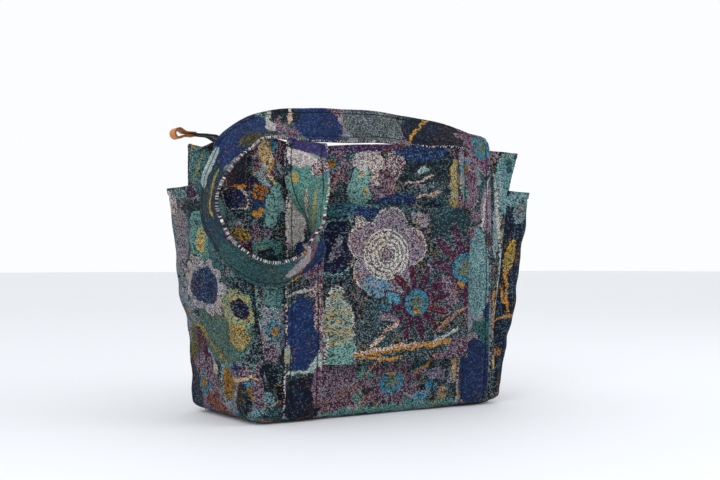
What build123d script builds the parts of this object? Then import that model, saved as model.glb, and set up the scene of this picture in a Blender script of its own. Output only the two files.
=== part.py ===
from build123d import *
import os

os.makedirs("parts", exist_ok=True)

# A tapestry carpet bag: four walls and a base of thick woven cloth, a pocket on each end, two long
# handles sewn up the faces, a trolley sleeve between the straps of the rear face, and a zip on top.
# Millimetres. X runs along the bag, Y through its depth (the rear, sleeve side is -Y), Z is up.
# The origin is on the floor, under the centre of the base.

# Overall size of the body. It widens a little from the base to the rim.
bag_height = 344.0
top_length = 424.0
base_length = 372.0
top_depth = 188.0
base_depth = 172.0

# Cloth
wall = 4.0
base_wall = 4.0
corner_radius = 3.0
seam_gap = 0.2
end_panel_drop = 6.0
lining_wall = 1.2
lining_drop = 8.0

# End pockets: box-shaped in plan, over the whole end, open at the top
pocket_wall = 3.0
pocket_corner = 8.0
pocket_foot = 3.0
pocket_foot_depth = 9.0
pocket_knee = 90.0
pocket_knee_depth = 20.0
pocket_waist = 170.0
pocket_waist_depth = 28.0
pocket_mouth = 292.0
pocket_mouth_depth = 31.0

# Handles: padded straps sewn up each face, with a long free part above the rim
strap_width = 54.0
strap_thickness = 4.0
strap_spacing = 268.0
strap_foot = 6.0

# Trolley sleeve: a band between the straps that stands off the rear panel
sleeve_wall = 3.0
sleeve_bottom = 69.0
sleeve_top = 268.5
sleeve_stand_off = 18.0
sleeve_seam = 9.0
sleeve_ramp = 9.0
sleeve_ramp_wall = 1.2

# Top zip: a closed chain between two cloth facings, with a tail past the left end
zip_rise = 4.0
facing_wall = 3.0
facing_rim_drop = 5.0
tape_width = 13.0
tape_thickness = 0.7
coil_width = 2.6
coil_height = 2.4
coil_gap = 1.2
zip_end_margin = 4.0
tail_lead = 2.0
tail_rise = 7.0
tail_slope_run = 22.0
tail_end_run = 11.0

# Slider and puller
slider_length = 11.0
slider_width = 9.6
slider_plate = 1.2
slider_channel = 3.0
slider_lip = 1.0
slider_slot = 1.7
post_length = 4.0
post_thickness = 0.9
slider_from_end = 13.0
bridge_width = 2.4
bridge_length = 8.0
bridge_wall = 1.3
bridge_opening = 2.1
pull_bar = 1.5
pull_clearance = 0.3
pull_arm = 1.3
pull_plate = 1.5
pull_window = 8.0
pull_length = 27.0
stop_length = 2.5
stop_clearance = 3.0

# Leather tab on the zip's tail
tab_width = 18.0
tab_leather = 2.2
tab_grip = 10.0
tab_loop_radius = 6.8
tab_loop_reach = 23.0
tab_neck_radius = 2.75
tab_hole_reach = 13.0

top_z = bag_height
zip_z = top_z + zip_rise
chain_half = coil_gap / 2 + coil_width


def half_length(z):
    """Half of the body's length at a height."""
    return (base_length + (top_length - base_length) * z / bag_height) / 2


def half_depth(z):
    """Half of the body's depth at a height."""
    return (base_depth + (top_depth - base_depth) * z / bag_height) / 2


# Base
with BuildPart() as base_panel:
    with BuildSketch():
        RectangleRounded(2 * half_length(0), 2 * half_depth(0), corner_radius)
    extrude(amount=base_wall)
    fillet(base_panel.faces().sort_by(Axis.Z)[0].edges(), base_wall / 3)
base_panel.part.label = "base_panel"
export_step(base_panel.part, "parts/base_panel.step")

# Rear and front panels: full-length walls that lean outward with the taper
panel_foot = base_wall + seam_gap
for name, side in (("rear_panel", -1), ("front_panel", 1)):
    with BuildPart() as panel:
        for z in (panel_foot, top_z):
            with BuildSketch(Plane.XY.offset(z)) as section:
                with Locations((0, side * (half_depth(z) - wall / 2))):
                    Rectangle(2 * half_length(z), wall)
                outer_corners = section.vertices().group_by(Axis.Y)[0 if side < 0 else -1]
                fillet(outer_corners, corner_radius)
        loft(ruled=True)
    panel.part.label = name
    export_step(panel.part, f"parts/{name}.step")

# End panels, between the two faces
end_top = top_z - end_panel_drop
for name, side in (("left_end_panel", -1), ("right_end_panel", 1)):
    with BuildPart() as end_panel:
        for z in (panel_foot, end_top):
            with BuildSketch(Plane.XY.offset(z)):
                with Locations((side * (half_length(z) - wall / 2), 0)):
                    Rectangle(wall, 2 * (half_depth(z) - wall - seam_gap))
        loft(ruled=True)
    end_panel.part.label = name
    export_step(end_panel.part, f"parts/{name}.step")

# Lining: an open-topped inner bag
with BuildPart() as lining:
    lining_foot = panel_foot + seam_gap
    lining_top = top_z - lining_drop
    inset = wall + seam_gap
    for z in (lining_foot, lining_top):
        with BuildSketch(Plane.XY.offset(z)):
            Rectangle(2 * (half_length(z) - inset), 2 * (half_depth(z) - inset))
    loft(ruled=True)
    inset = wall + seam_gap + lining_wall
    for z in (lining_foot + lining_wall, lining_top):
        with BuildSketch(Plane.XY.offset(z)):
            Rectangle(2 * (half_length(z) - inset), 2 * (half_depth(z) - inset))
    loft(ruled=True, mode=Mode.SUBTRACT)
lining.part.label = "lining"
export_step(lining.part, "parts/lining.step")

# End pockets: the outer wall stands away from the end panel, most at its waist and open mouth
pocket_levels = (
    (pocket_foot, pocket_foot_depth),
    (pocket_knee, pocket_knee_depth),
    (pocket_waist, pocket_waist_depth),
    (pocket_mouth, pocket_mouth_depth),
)
for name, side in (("left_end_pocket", -1), ("right_end_pocket", 1)):
    with BuildPart() as pocket:
        for z, depth in pocket_levels:
            flat_x = half_length(z) + seam_gap
            out = depth + pocket_wall
            with BuildSketch(Plane.XY.offset(z)) as outline:
                with Locations((side * (flat_x + out / 2), 0)):
                    Rectangle(out, 2 * half_depth(z))
                outer_corners = outline.vertices().group_by(Axis.X)[0 if side < 0 else -1]
                fillet(outer_corners, pocket_corner)
        loft(ruled=True)
        for z, depth in pocket_levels:
            floor_z = max(z, pocket_foot + pocket_wall)
            flat_x = half_length(floor_z) + seam_gap
            with BuildSketch(Plane.XY.offset(floor_z)) as hollow:
                with Locations((side * (flat_x + depth / 2), 0)):
                    Rectangle(depth, 2 * (half_depth(floor_z) - pocket_wall))
                inner_corners = hollow.vertices().group_by(Axis.X)[0 if side < 0 else -1]
                fillet(inner_corners, pocket_corner - pocket_wall)
        loft(ruled=True, mode=Mode.SUBTRACT)
    pocket.part.label = name
    export_step(pocket.part, f"parts/{name}.step")

# Trolley sleeve: open at the top and the bottom, sewn down beside the two straps
sleeve_half = strap_spacing / 2 - strap_width / 2 - seam_gap
ramp_foot = sleeve_half - sleeve_seam
ramp_top = ramp_foot - sleeve_ramp
with BuildPart() as trolley_sleeve:
    for z in (sleeve_bottom, sleeve_top):
        back_y = -half_depth(z) - seam_gap
        out_y = back_y - sleeve_stand_off
        with BuildSketch(Plane.XY.offset(z)):
            with BuildLine():
                Polyline(
                    (-sleeve_half, back_y),
                    (-sleeve_half, back_y - sleeve_wall),
                    (-ramp_foot, back_y - sleeve_wall),
                    (-ramp_top, out_y - sleeve_wall),
                    (ramp_top, out_y - sleeve_wall),
                    (ramp_foot, back_y - sleeve_wall),
                    (sleeve_half, back_y - sleeve_wall),
                    (sleeve_half, back_y),
                    (ramp_foot - sleeve_ramp_wall, back_y),
                    (ramp_top - sleeve_ramp_wall, out_y),
                    (-ramp_top + sleeve_ramp_wall, out_y),
                    (-ramp_foot + sleeve_ramp_wall, back_y),
                    (-sleeve_half, back_y),
                )
            make_face()
    loft(ruled=True)
trolley_sleeve.part.label = "trolley_sleeve"
export_step(trolley_sleeve.part, "parts/trolley_sleeve.step")

# Handles. Each is one strap: up one face, free above the rim, and down the same face. A station gives
# which edge keeps its place if the strap's width changes (1 inner, -1 outer, 0 its middle), that
# point as a share of half the strap spacing, a distance out from the sewn strap and a height over
# the rim, and the direction across the strap from its inner edge to its outer edge.
strap_x = strap_spacing / 2
strap_y = half_depth(top_z) + seam_gap + strap_thickness / 2
foot_out = half_depth(strap_foot) - half_depth(top_z)
foot_up = strap_foot - top_z

# Rear handle: it leans back over the mouth, runs to the left, and hangs in a loop off that corner.
rear_stations = [
    (0, 1, foot_out, foot_up, (1, 0, 0)),
    (0, 1, 0, 0, (1, 0, 0)),
    (1, 0.80, 4, 8, (0.96, 0.15, 0.20)),
    (1, 0.76, 0, 9, (0.78, 0.45, 0.42)),
    (1, 0.66, -5, 9, (0.40, 0.64, 0.66)),
    (1, 0.37, -9, 8.5, (0.03, 0.60, 0.80)),
    (1, -0.13, -11, 7.5, (0, 0.55, 0.84)),
    (1, -0.56, -10, 5, (-0.02, 0.52, 0.86)),
    (1, -0.88, -6, 4.5, (-0.10, 0.55, 0.83)),
    (1, -1.12, 0, 4.5, (-0.30, 0.64, 0.69)),
    (1, -1.34, 6, 1, (-0.21, 0.80, 0.56)),
    (1, -1.56, 17, -4, (-0.10, 0.88, 0.45)),
    (1, -1.70, 17, -26, (-0.10, 0.86, 0.50)),
    (1, -1.84, 17, -42, (-0.04, 0.95, 0.29)),
    (1, -1.905, 20, -58, (0.02, 0.98, 0.17)),
    (1, -1.955, 22, -76, (0.08, 0.99, 0.07)),
    (1, -1.955, 24, -94, (0.07, 1, 0)),
    (1, -1.92, 30, -111, (0, 0.98, 0.10)),
    (1, -1.855, 38, -128, (0.07, 0.99, -0.13)),
    (1, -1.75, 48, -140, (0.03, 0.96, -0.29)),
    (1, -1.58, 52, -148, (0.11, 0.88, -0.46)),
    (1, -1.38, 52, -145, (0.16, 0.80, -0.58)),
    (1, -1.175, 50, -131, (0.26, 0.76, -0.60)),
    (-1, -0.873, 8, -147, (0.36, 0.72, -0.60)),
    (-1, -0.888, 7, -129, (0.20, 0.88, -0.42)),
    (-1, -0.955, 7, -110, (0, 0.98, -0.20)),
    (-1, -1.05, 7, -91, (-0.25, 0.96, -0.10)),
    (-1, -1.15, 8, -70, (-0.60, 0.80, 0)),
    (-1, -1.23, 10, -47, (-0.86, 0.51, 0)),
    (-1, -1.27, 12, -26, (-0.97, 0.24, 0)),
    (0, -1.03, 13, -9, (-1, 0.06, 0)),
    (0, -1, 9, 0, (-1, 0, 0)),
    (0, -1, 6.5, 4.5, (-1, 0, 0)),
    (0, -1, 2.5, 4.5, (-1, 0, 0)),
    (0, -1, 0, 0, (-1, 0, 0)),
    (0, -1, foot_out, foot_up, (-1, 0, 0)),
]

# Front handle: it folds over the rim and hangs down the face in an even loop.
front_half = [
    (0, 1, foot_out, foot_up, (1, 0, 0)),
    (0, 1, 0, 0, (1, 0, 0)),
    (0, 1, 2.5, 4.5, (1, 0, 0)),
    (0, 1, 6.5, 4.5, (1, 0, 0)),
    (0, 1, 9, 0, (1, 0, 0)),
    (0, 1.01, 12, -9, (1, 0.06, 0)),
    (-1, 1.20, 7, -28, (0.92, 0.39, 0)),
    (-1, 1.15, 6, -55, (0.72, 0.70, 0)),
    (-1, 1.06, 6, -86, (0.45, 0.88, -0.05)),
    (-1, 0.96, 7, -122, (0.30, 0.92, -0.15)),
    (-1, 0.84, 9, -158, (0.22, 0.90, -0.30)),
    (-1, 0.64, 10, -188, (0.15, 0.88, -0.42)),
    (-1, 0.36, 11, -209, (0.06, 0.85, -0.50)),
    (-1, 0, 11, -215, (0, 0.85, -0.52)),
]
front_stations = front_half + [
    (still, -along, out, up, (-u, v, w)) for still, along, out, up, (u, v, w) in front_half[-2::-1]
]


def strap_planes(stations, side):
    """A plane across the strap at each station, square to its run."""
    middles = []
    widths = []
    for still, along, out, up, (u, v, w) in stations:
        width = Vector(u, -side * v, w).normalized()
        edge = Vector(along * strap_x, side * (strap_y + out), top_z + up)
        middles.append(edge + width * (still * strap_width / 2))
        widths.append(width)
    planes = []
    last = len(stations) - 1
    for i, (middle, width) in enumerate(zip(middles, widths)):
        run = (middles[min(i + 1, last)] - middles[max(i - 1, 0)]).normalized()
        if i < 2 or i > last - 2:
            run = Vector(0, 0, 1 if i < 2 else -1)
        planes.append(Plane(origin=middle, x_dir=width - run * width.dot(run), z_dir=run))
    return planes


for name, stations, side in (("rear_handle", rear_stations, -1), ("front_handle", front_stations, 1)):
    with BuildPart() as handle:
        for plane in strap_planes(stations, side):
            with BuildSketch(plane):
                Rectangle(strap_width, strap_thickness)
        loft(ruled=True)
    handle.part.label = name
    export_step(handle.part, f"parts/{name}.step")

# Zip facings: cloth strips that rise from the rims to the zip tapes
tape_outer = chain_half + tape_width
facing_length = 2 * (half_length(top_z) - zip_end_margin)
for name, side in (("rear_zip_facing", -1), ("front_zip_facing", 1)):
    with BuildPart() as facing:
        rim_y = half_depth(top_z - facing_rim_drop) - wall - seam_gap
        rim_z = top_z - facing_rim_drop
        with BuildSketch(Plane.YZ.offset(-facing_length / 2)):
            with BuildLine():
                Polyline(
                    (side * rim_y, rim_z),
                    (side * rim_y, rim_z + facing_wall),
                    (side * (tape_outer + seam_gap), zip_z + facing_wall / 2),
                    (side * (tape_outer + seam_gap), zip_z - facing_wall / 2),
                    (side * rim_y, rim_z),
                )
            make_face()
        extrude(amount=facing_length)
    facing.part.label = name
    export_step(facing.part, f"parts/{name}.step")

# Zip tapes and coils: straight along the mouth, then a tail that lifts clear of the left end
tail_start = tail_lead - facing_length / 2
tail_bend = tail_start - tail_slope_run
tail_end = tail_bend - tail_end_run
tail_z = zip_z + tail_rise
zip_right = facing_length / 2


def ribbon(half, right_x, left_x):
    """Side outline of a strip that follows the zip, with a half thickness."""
    return (
        (right_x, zip_z + half),
        (tail_start, zip_z + half),
        (tail_bend, tail_z + half),
        (left_x, tail_z + half),
        (left_x, tail_z - half),
        (tail_bend, tail_z - half),
        (tail_start, zip_z - half),
        (right_x, zip_z - half),
        (right_x, zip_z + half),
    )


for name, side in (("rear_zip_tape", -1), ("front_zip_tape", 1)):
    with BuildPart() as tape:
        with BuildSketch(Plane.XZ.offset(-side * chain_half)):
            with BuildLine():
                Polyline(*ribbon(tape_thickness / 2, zip_right, tail_end))
            make_face()
        extrude(amount=-side * tape_width)
    tape.part.label = name
    export_step(tape.part, f"parts/{name}.step")

tab_start = tail_end + tab_grip - seam_gap
coil_right = zip_right - zip_end_margin
for name, side in (("rear_zip_coil", -1), ("front_zip_coil", 1)):
    with BuildPart() as coil:
        with BuildSketch(Plane.XZ.offset(-side * coil_gap / 2)):
            with BuildLine():
                Polyline(*ribbon(coil_height / 2, coil_right, tab_start + 2 * seam_gap))
            make_face()
        extrude(amount=-side * coil_width)
    coil.part.label = name
    export_step(coil.part, f"parts/{name}.step")

# Slider at the closed, right-hand end, clamped round the chain with a thin post between the coils
slider_x = coil_right - slider_from_end
slider_top = zip_z + slider_channel / 2 + slider_plate
with BuildPart() as zip_slider:
    for side in (-1, 1):
        with BuildSketch(Plane.XY.offset(zip_z + side * slider_channel / 2)):
            with Locations((slider_x, 0)):
                RectangleRounded(slider_length, slider_width, slider_width / 4)
        extrude(amount=side * slider_plate)
        with BuildSketch(Plane.XY.offset(zip_z + side * slider_slot / 2)):
            with Locations((slider_x, slider_width / 2 - slider_lip / 2)):
                Rectangle(slider_length / 2, slider_lip)
            with Locations((slider_x, slider_lip / 2 - slider_width / 2)):
                Rectangle(slider_length / 2, slider_lip)
        extrude(amount=side * (slider_channel - slider_slot) / 2)
    with BuildSketch(Plane.XY.offset(zip_z - slider_channel / 2)):
        with Locations((slider_x + slider_length / 2 - post_length / 2 - slider_plate, 0)):
            Rectangle(post_length, post_thickness)
    extrude(amount=slider_channel)
    with BuildSketch(Plane.XZ):
        with Locations((slider_x, slider_top + (bridge_opening + bridge_wall) / 2)):
            RectangleRounded(bridge_length, bridge_opening + bridge_wall, bridge_wall / 2)
        with Locations((slider_x, slider_top + (bridge_wall / 2) / 2)):
            Rectangle(bridge_length, bridge_wall / 2)
        with Locations((slider_x, slider_top + bridge_opening / 2)):
            Rectangle(bridge_length - 2 * bridge_wall, bridge_opening, mode=Mode.SUBTRACT)
    extrude(amount=bridge_width / 2, both=True)
zip_slider.part.label = "zip_slider"
export_step(zip_slider.part, "parts/zip_slider.step")

# Puller: its cross bar turns under the slider's bridge, and it lies back along the chain
pull_z = slider_top + bridge_opening / 2
arm_y = bridge_width / 2 + pull_clearance
with BuildPart() as zip_puller:
    with BuildSketch(Plane.XY.offset(pull_z - pull_plate / 2)):
        with BuildLine():
            grip_half = arm_y + pull_arm
            tip = slider_x - pull_length
            Line((slider_x, -grip_half), (slider_x, grip_half))
            Line((slider_x, grip_half), (tip + grip_half, grip_half))
            ThreePointArc((tip + grip_half, grip_half), (tip, 0), (tip + grip_half, -grip_half))
            Line((tip + grip_half, -grip_half), (slider_x, -grip_half))
        make_face()
        with Locations((slider_x - pull_window / 2, 0)):
            Rectangle(pull_window, 2 * arm_y, mode=Mode.SUBTRACT)
    extrude(amount=pull_plate)
    with BuildSketch(Plane.XZ.offset(-grip_half)):
        with Locations((slider_x, pull_z)):
            Circle(pull_bar / 2)
    extrude(amount=2 * grip_half)
zip_puller.part.label = "zip_puller"
export_step(zip_puller.part, "parts/zip_puller.step")

# Stops past the slider, one clamped on each coil
stop_x = slider_x + slider_length / 2 + stop_clearance + stop_length / 2
with BuildPart() as zip_top_stops:
    with BuildSketch(Plane.XY.offset(zip_z + coil_height / 2)):
        with Locations((stop_x, chain_half - coil_width / 2), (stop_x, coil_width / 2 - chain_half)):
            Rectangle(stop_length, coil_width)
    extrude(amount=slider_plate)
zip_top_stops.part.label = "zip_top_stops"
export_step(zip_top_stops.part, "parts/zip_top_stops.step")

# Leather tab: one strip folded into a loop, its two tails stitched round the end of the zip
loop_x = tail_end - tab_loop_reach
with BuildPart() as zip_end_tab:
    with BuildSketch(Plane.XZ.offset(-tab_width / 2)):
        with Locations((loop_x, tail_z)):
            Circle(tab_loop_radius)
        with Locations((tail_end, tail_z)):
            Circle(tab_neck_radius)
        make_hull()
        with Locations((tail_end + tab_grip / 2 - seam_gap, tail_z)):
            Rectangle(tab_grip, 2 * tab_neck_radius)
        with Locations((tail_end + tab_grip / 2 - seam_gap, tail_z)):
            Rectangle(tab_grip, tape_thickness + 2 * seam_gap, mode=Mode.SUBTRACT)
    extrude(amount=tab_width)
    with BuildSketch(Plane.XZ.offset(-tab_width / 2)):
        with Locations((loop_x, tail_z)):
            Circle(tab_loop_radius - tab_leather)
        with Locations((loop_x + tab_hole_reach, tail_z)):
            Circle(tab_leather / 4)
        make_hull()
    extrude(amount=tab_width, mode=Mode.SUBTRACT)
zip_end_tab.part.label = "zip_end_tab"
export_step(zip_end_tab.part, "parts/zip_end_tab.step")
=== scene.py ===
import bpy
import math
from mathutils import Matrix, Vector, noise


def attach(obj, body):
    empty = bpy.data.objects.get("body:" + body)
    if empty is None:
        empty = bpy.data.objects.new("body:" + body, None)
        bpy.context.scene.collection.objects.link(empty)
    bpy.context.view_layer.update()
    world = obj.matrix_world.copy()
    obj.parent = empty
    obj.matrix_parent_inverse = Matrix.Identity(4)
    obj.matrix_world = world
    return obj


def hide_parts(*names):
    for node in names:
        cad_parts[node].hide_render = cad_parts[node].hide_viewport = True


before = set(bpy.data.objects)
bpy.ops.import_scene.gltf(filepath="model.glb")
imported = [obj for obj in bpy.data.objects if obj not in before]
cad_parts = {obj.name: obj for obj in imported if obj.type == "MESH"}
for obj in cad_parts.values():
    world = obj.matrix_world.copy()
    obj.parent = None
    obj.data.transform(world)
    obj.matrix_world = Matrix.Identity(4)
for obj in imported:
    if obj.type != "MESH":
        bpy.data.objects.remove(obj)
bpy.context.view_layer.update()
mm = 0.001
print("frame loaded")

studio = {
    "floor": "#e9ebef",
    "floorSize": 60,
    "backdrop": "#fcfdff",
    "worldLight": 1.0,
    "keyLight": 24.0,
    "sideLight": 12.0,
    "cameraAt": (-0.785, -1.206, 0.191),
    "heading": (0.5505, 0.835),  # the way the camera looks, seen from above
    "pitch": 1.42,  # degrees upwards
    "lens": 52.5,
}


def linearColour(code):  # sRGB hex to the linear values the renderer works in
    channels = [int(code[i : i + 2], 16) / 255 for i in (1, 3, 5)]
    return (*[c / 12.92 if c <= 0.04045 else ((c + 0.055) / 1.055) ** 2.4 for c in channels], 1.0)


def addNode(tree, kind, inputs, output=0, **settings):  # one node with its settings, links and values
    node = tree.nodes.new("ShaderNode" + kind)
    for key, value in settings.items():
        setattr(node, key, value)
    for socket, given in inputs.items():
        if isinstance(given, bpy.types.NodeSocket):
            tree.links.new(given, node.inputs[socket])
        else:
            node.inputs[socket].default_value = linearColour(given) if isinstance(given, str) else given
    return node.outputs[output]


def chain(tree, kind, value, *steps):  # nodes of one kind in a row, each working on the last one's result
    for operation, *others in steps:
        value = addNode(tree, kind, dict(enumerate((value, *others))), operation=operation)
    return value


def fillRamp(colour, steps, interpolation="CONSTANT"):  # places and colours along a colour ramp
    ramp = colour.node.color_ramp
    ramp.interpolation = interpolation
    while len(ramp.elements) < len(steps):
        ramp.elements.new(0.9)
    for stop, (position, code) in zip(ramp.elements, steps):
        stop.position = position
        stop.color = linearColour(code)


def deselectAll():
    if bpy.context.mode != "OBJECT":
        bpy.ops.object.mode_set(mode="OBJECT")
    bpy.ops.object.select_all(action="DESELECT")


def pick(piece):
    deselectAll()
    piece.select_set(True)
    bpy.context.view_layer.objects.active = piece


def applyModifiers(piece):
    pick(piece)
    for modifier in list(piece.modifiers):
        bpy.ops.object.modifier_apply(modifier=modifier.name)


def plainMaterial(name, colour, roughness=0.9):
    material = bpy.data.materials.new(name)
    material.use_nodes = True
    shader = material.node_tree.nodes["Principled BSDF"]
    shader.inputs["Base Color"].default_value = linearColour(colour)
    shader.inputs["Roughness"].default_value = roughness
    return material


def startMaterial(name, colour, roughness=0.9):  # a plain material and its place in millimetres, to build on
    material = plainMaterial(name, colour, roughness)
    tree = material.node_tree
    spot = addNode(tree, "TexCoord", {}, "Object")
    place = addNode(tree, "VectorMath", {0: spot, 1: (1 / mm,) * 3}, operation="MULTIPLY")
    return material, tree, tree.nodes["Principled BSDF"], place


deselectAll()
bpy.ops.mesh.primitive_plane_add(size=studio["floorSize"], location=(0, 0, -0.0005))
studioFloor = bpy.context.active_object
studioFloor.name = "studioFloor"
studioFloor.data.materials.append(plainMaterial("mattePaintedFloor", studio["floor"], 0.7))

world = bpy.data.worlds.new("softStudio")
bpy.context.scene.world = world
world.use_nodes = True
glow = world.node_tree.nodes["Background"].inputs
glow["Color"].default_value = linearColour(studio["backdrop"])
glow["Strength"].default_value = studio["worldLight"]

for name, place, turn, size, power in (
    ("keyLight", (-1.9, -1.7, 1.7), (58, 0, -48), 1.6, studio["keyLight"]),
    ("sideLight", (1.6, -1.5, 1.1), (65, 0, 47), 1.4, studio["sideLight"]),
):
    deselectAll()
    bpy.ops.object.light_add(type="AREA", location=place, rotation=[math.radians(a) for a in turn])
    lamp = bpy.context.active_object
    lamp.name = name
    lamp.data.size = size
    lamp.data.energy = power

deselectAll()
bpy.ops.object.camera_add(location=studio["cameraAt"])
camera = bpy.context.active_object
camera.name = "camera"
camera.data.lens = studio["lens"]
camera.data.sensor_width = 36
pitch = math.radians(studio["pitch"])
looking = Vector((*[part * math.cos(pitch) for part in studio["heading"]], math.sin(pitch)))
camera.rotation_euler = looking.to_track_quat("-Z", "Y").to_euler()
bpy.context.scene.camera = camera
bpy.context.scene.view_settings.view_transform = "Standard"
print("studio ready")


def ease(a, b, t):
    t = min(max((t - a) / (b - a), 0.0), 1.0)
    return t * t * (3 - 2 * t)


def curveShares(f):  # how much two ends and their slopes count, part of the way along a smooth curve
    return 2 * f**3 - 3 * f**2 + 1, f**3 - 2 * f**2 + f, 3 * f**2 - 2 * f**3, f**3 - f**2


def follow(points, t):  # a smooth line through (place, value) pairs
    last = len(points) - 1
    i = 0
    while i < last - 1 and t > points[i + 1][0]:
        i += 1
    t0, v0 = points[i]
    t1, v1 = points[i + 1]
    before = points[max(i - 1, 0)]
    after = points[min(i + 2, last)]
    slope0 = (v1 - before[1]) / (t1 - before[0])
    slope1 = (after[1] - v0) / (after[0] - t0)
    step = t1 - t0
    a, b, c, d = curveShares(min(max((t - t0) / step, 0.0), 1.0))
    return a * v0 + b * step * slope0 + c * v1 + d * step * slope1


def ripple(x, z, size, seed):  # soft random height from about -1 to 1
    return 2 * noise.noise(Vector((x / size, z / size, seed * 7.3)))


def rolledHem(distance, width=8.0, height=1.2, furrow=1.0):  # a turned edge and its sewn furrow
    roll = height * (1 - ease(width * 0.75, width * 1.05, distance))
    return roll - furrow * math.exp(-(((distance - width) / 1.1) ** 2))


bag = {
    "rim": 344,
    "footDepth": 86,
    "rimDepth": 94,
    "footRound": 13,
    "cornerRound": 9,
    "topHalf": 212,
    "rimHalf": 208,
    "swell": 3.5,
    "edgeFold": 1.6,
    "fold": 1.3,
    "fineFold": 0.7,
    "lowFold": 2.2,
    "leftEdge": [(0, -192), (96, -194), (162, -205), (323, -208), (355, -208)],
    "rightEdge": [(0, 177), (40, 179), (90, 178), (130, 182), (200, 192), (300, 205), (349, 217)],
    "rearRim": [
        (-208, 349), (-180, 347), (-150, 341), (-120, 339), (-97, 341),
        (-60, 345), (0, 349), (75, 352), (212, 349),
    ],
    "frontRim": [(-208, 353), (-160, 346), (-60, 343), (60, 343), (209, 346)],
    "cloth": 3.4,
}


def footTuck(z):  # how far a wall has curled under at a height
    r = bag["footRound"]
    return r - math.sqrt(max(r * r - (r - z) ** 2, 0)) if z < r else 0.0


def faceDepth(side, x, z):  # half depth of the body at a place on its rear (-1) or front (1) face
    share = min(max(z / bag["rim"], 0), 1)
    depth = bag["footDepth"] + (bag["rimDepth"] - bag["footDepth"]) * share
    slack = 1 - min(abs(x) / bag["topHalf"], 1) ** 3
    swell = bag["swell"] * math.sin(math.pi * share) * slack
    edgeFolds = bag["edgeFold"] * ripple(x * 2.6, z * 0.45, 60, side + 5) * ease(130, 185, abs(x))
    folds = bag["fold"] * ripple(x, z, 70, side + 2) + bag["fineFold"] * ripple(x, z * 0.7, 26, side + 9)
    nearFoot = (1 - ease(18, 60, z)) * ease(4, 14, z)
    lowFolds = bag["lowFold"] * ripple(x * 0.5, z * 1.6, 30, side + 4) * nearFoot
    slump = (x + 196) * 0.83 - (82 - z) * 0.56  # a diagonal fold low on the left of the rear face
    corner = (1 - ease(-160, -120, x)) * (1 - ease(80, 110, z)) if side < 0 else 0.0
    sag = 3.5 * ease(0, -14, slump) * ease(4, 20, z)
    crease = 4.0 * math.exp(-((slump / 5) ** 2)) * ease(8, 25, z)
    lowFolds += corner * (sag - crease)
    return depth + swell + edgeFolds + folds + lowFolds - footTuck(z)


def edgeAt(side, z):  # X of the left (-1) or right (1) end of the body
    return follow(bag["leftEdge"] if side < 0 else bag["rightEdge"], z) - side * footTuck(z)


def climb(distance, radius):  # height and turn-in of cloth that curls up from the base seam
    arc = radius * math.pi / 2
    if distance < arc:
        return radius * (1 - math.cos(distance / radius))
    return distance - arc + radius


def layCloth(name, columns, rows, place, thickness, outward, uvAt, offset=-1.0):
    deselectAll()
    bpy.ops.mesh.primitive_grid_add(x_subdivisions=columns, y_subdivisions=rows, size=2, calc_uvs=True)
    piece = bpy.context.active_object
    piece.name = name
    mesh = piece.data
    mesh.name = name
    flat = [(v.co.x, v.co.y) for v in mesh.vertices]
    spots = [Vector(place(u, v)) for u, v in flat]
    measured = [uvAt(u, v) for u, v in flat]
    uvLayer = mesh.uv_layers.active.data
    for loop in mesh.loops:
        across, up = measured[loop.vertex_index]
        uvLayer[loop.index].uv = (across * mm, up * mm)
    for vertex, spot in zip(mesh.vertices, spots):
        vertex.co = spot * mm
    mesh.update()
    facing = sum((p.normal for p in mesh.polygons), Vector())
    if facing.dot(Vector(outward)) < 0:
        bpy.ops.object.mode_set(mode="EDIT")
        bpy.ops.mesh.select_all(action="SELECT")
        bpy.ops.mesh.flip_normals()
        bpy.ops.object.mode_set(mode="OBJECT")
    solid = piece.modifiers.new("clothThickness", "SOLIDIFY")
    solid.thickness = thickness * mm
    solid.offset = offset
    applyModifiers(piece)
    return piece


def finishPiece(piece, nodes, material, body="bag", angle=50):
    pick(piece)
    bpy.ops.object.shade_smooth_by_angle(angle=math.radians(angle))
    piece.data.materials.clear()
    piece.data.materials.append(material)
    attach(piece, body)
    if nodes:
        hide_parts(*nodes)


# Cotton twill lining: dull dark blue, with fine diagonal ribs and a little unevenness from washing.
liningCloth, tree, shader, place = startMaterial("cottonTwillLining", "#2b2f3a")
ribs = {"Vector": place, "Scale": 0.22, "Distortion": 0.4}
ribs = addNode(tree, "TexWave", ribs, "Fac", bands_direction="DIAGONAL")
worn = addNode(tree, "TexNoise", {"Vector": place, "Scale": 0.05, "Detail": 4.0}, "Fac")
depth = addNode(tree, "Math", {0: worn, 1: 0.8}, operation="MULTIPLY")
depth = addNode(tree, "Math", {0: ribs, 1: 0.3, 2: depth}, operation="MULTIPLY_ADD")
colour = addNode(tree, "Mix", {0: depth, 6: "#1d2029", 7: "#3d4353"}, 2, data_type="RGBA")
tree.links.new(colour, shader.inputs["Base Color"])
ridges = addNode(tree, "Bump", {"Height": ribs, "Strength": 0.6, "Distance": 0.15 * mm})
tree.links.new(ridges, shader.inputs["Normal"])

# Woven polyester zip tape: black, with lengthwise ribs about 0.8 mm apart; the thin light they catch is
# painted into the colour as a highlight along each rib.
zipTape, tree, shader, place = startMaterial("wovenPolyesterTape", "#15161a", 0.75)
ribs = addNode(tree, "TexWave", {"Vector": place, "Scale": 0.4}, "Fac", bands_direction="Y")
picks = addNode(tree, "TexWave", {"Vector": place, "Scale": 0.35}, "Fac", bands_direction="X")
height = addNode(tree, "Math", {0: ribs, 1: picks}, operation="ADD")
# painted highlight: the colour turns from near black to grey along each rib, where it would catch light
colour = addNode(tree, "Mix", {0: ribs, 6: "#0d0e11", 7: "#24262c"}, 2, data_type="RGBA")
tree.links.new(colour, shader.inputs["Base Color"])
ridges = addNode(tree, "Bump", {"Height": height, "Strength": 0.7, "Distance": 0.12 * mm})
tree.links.new(ridges, shader.inputs["Normal"])

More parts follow.
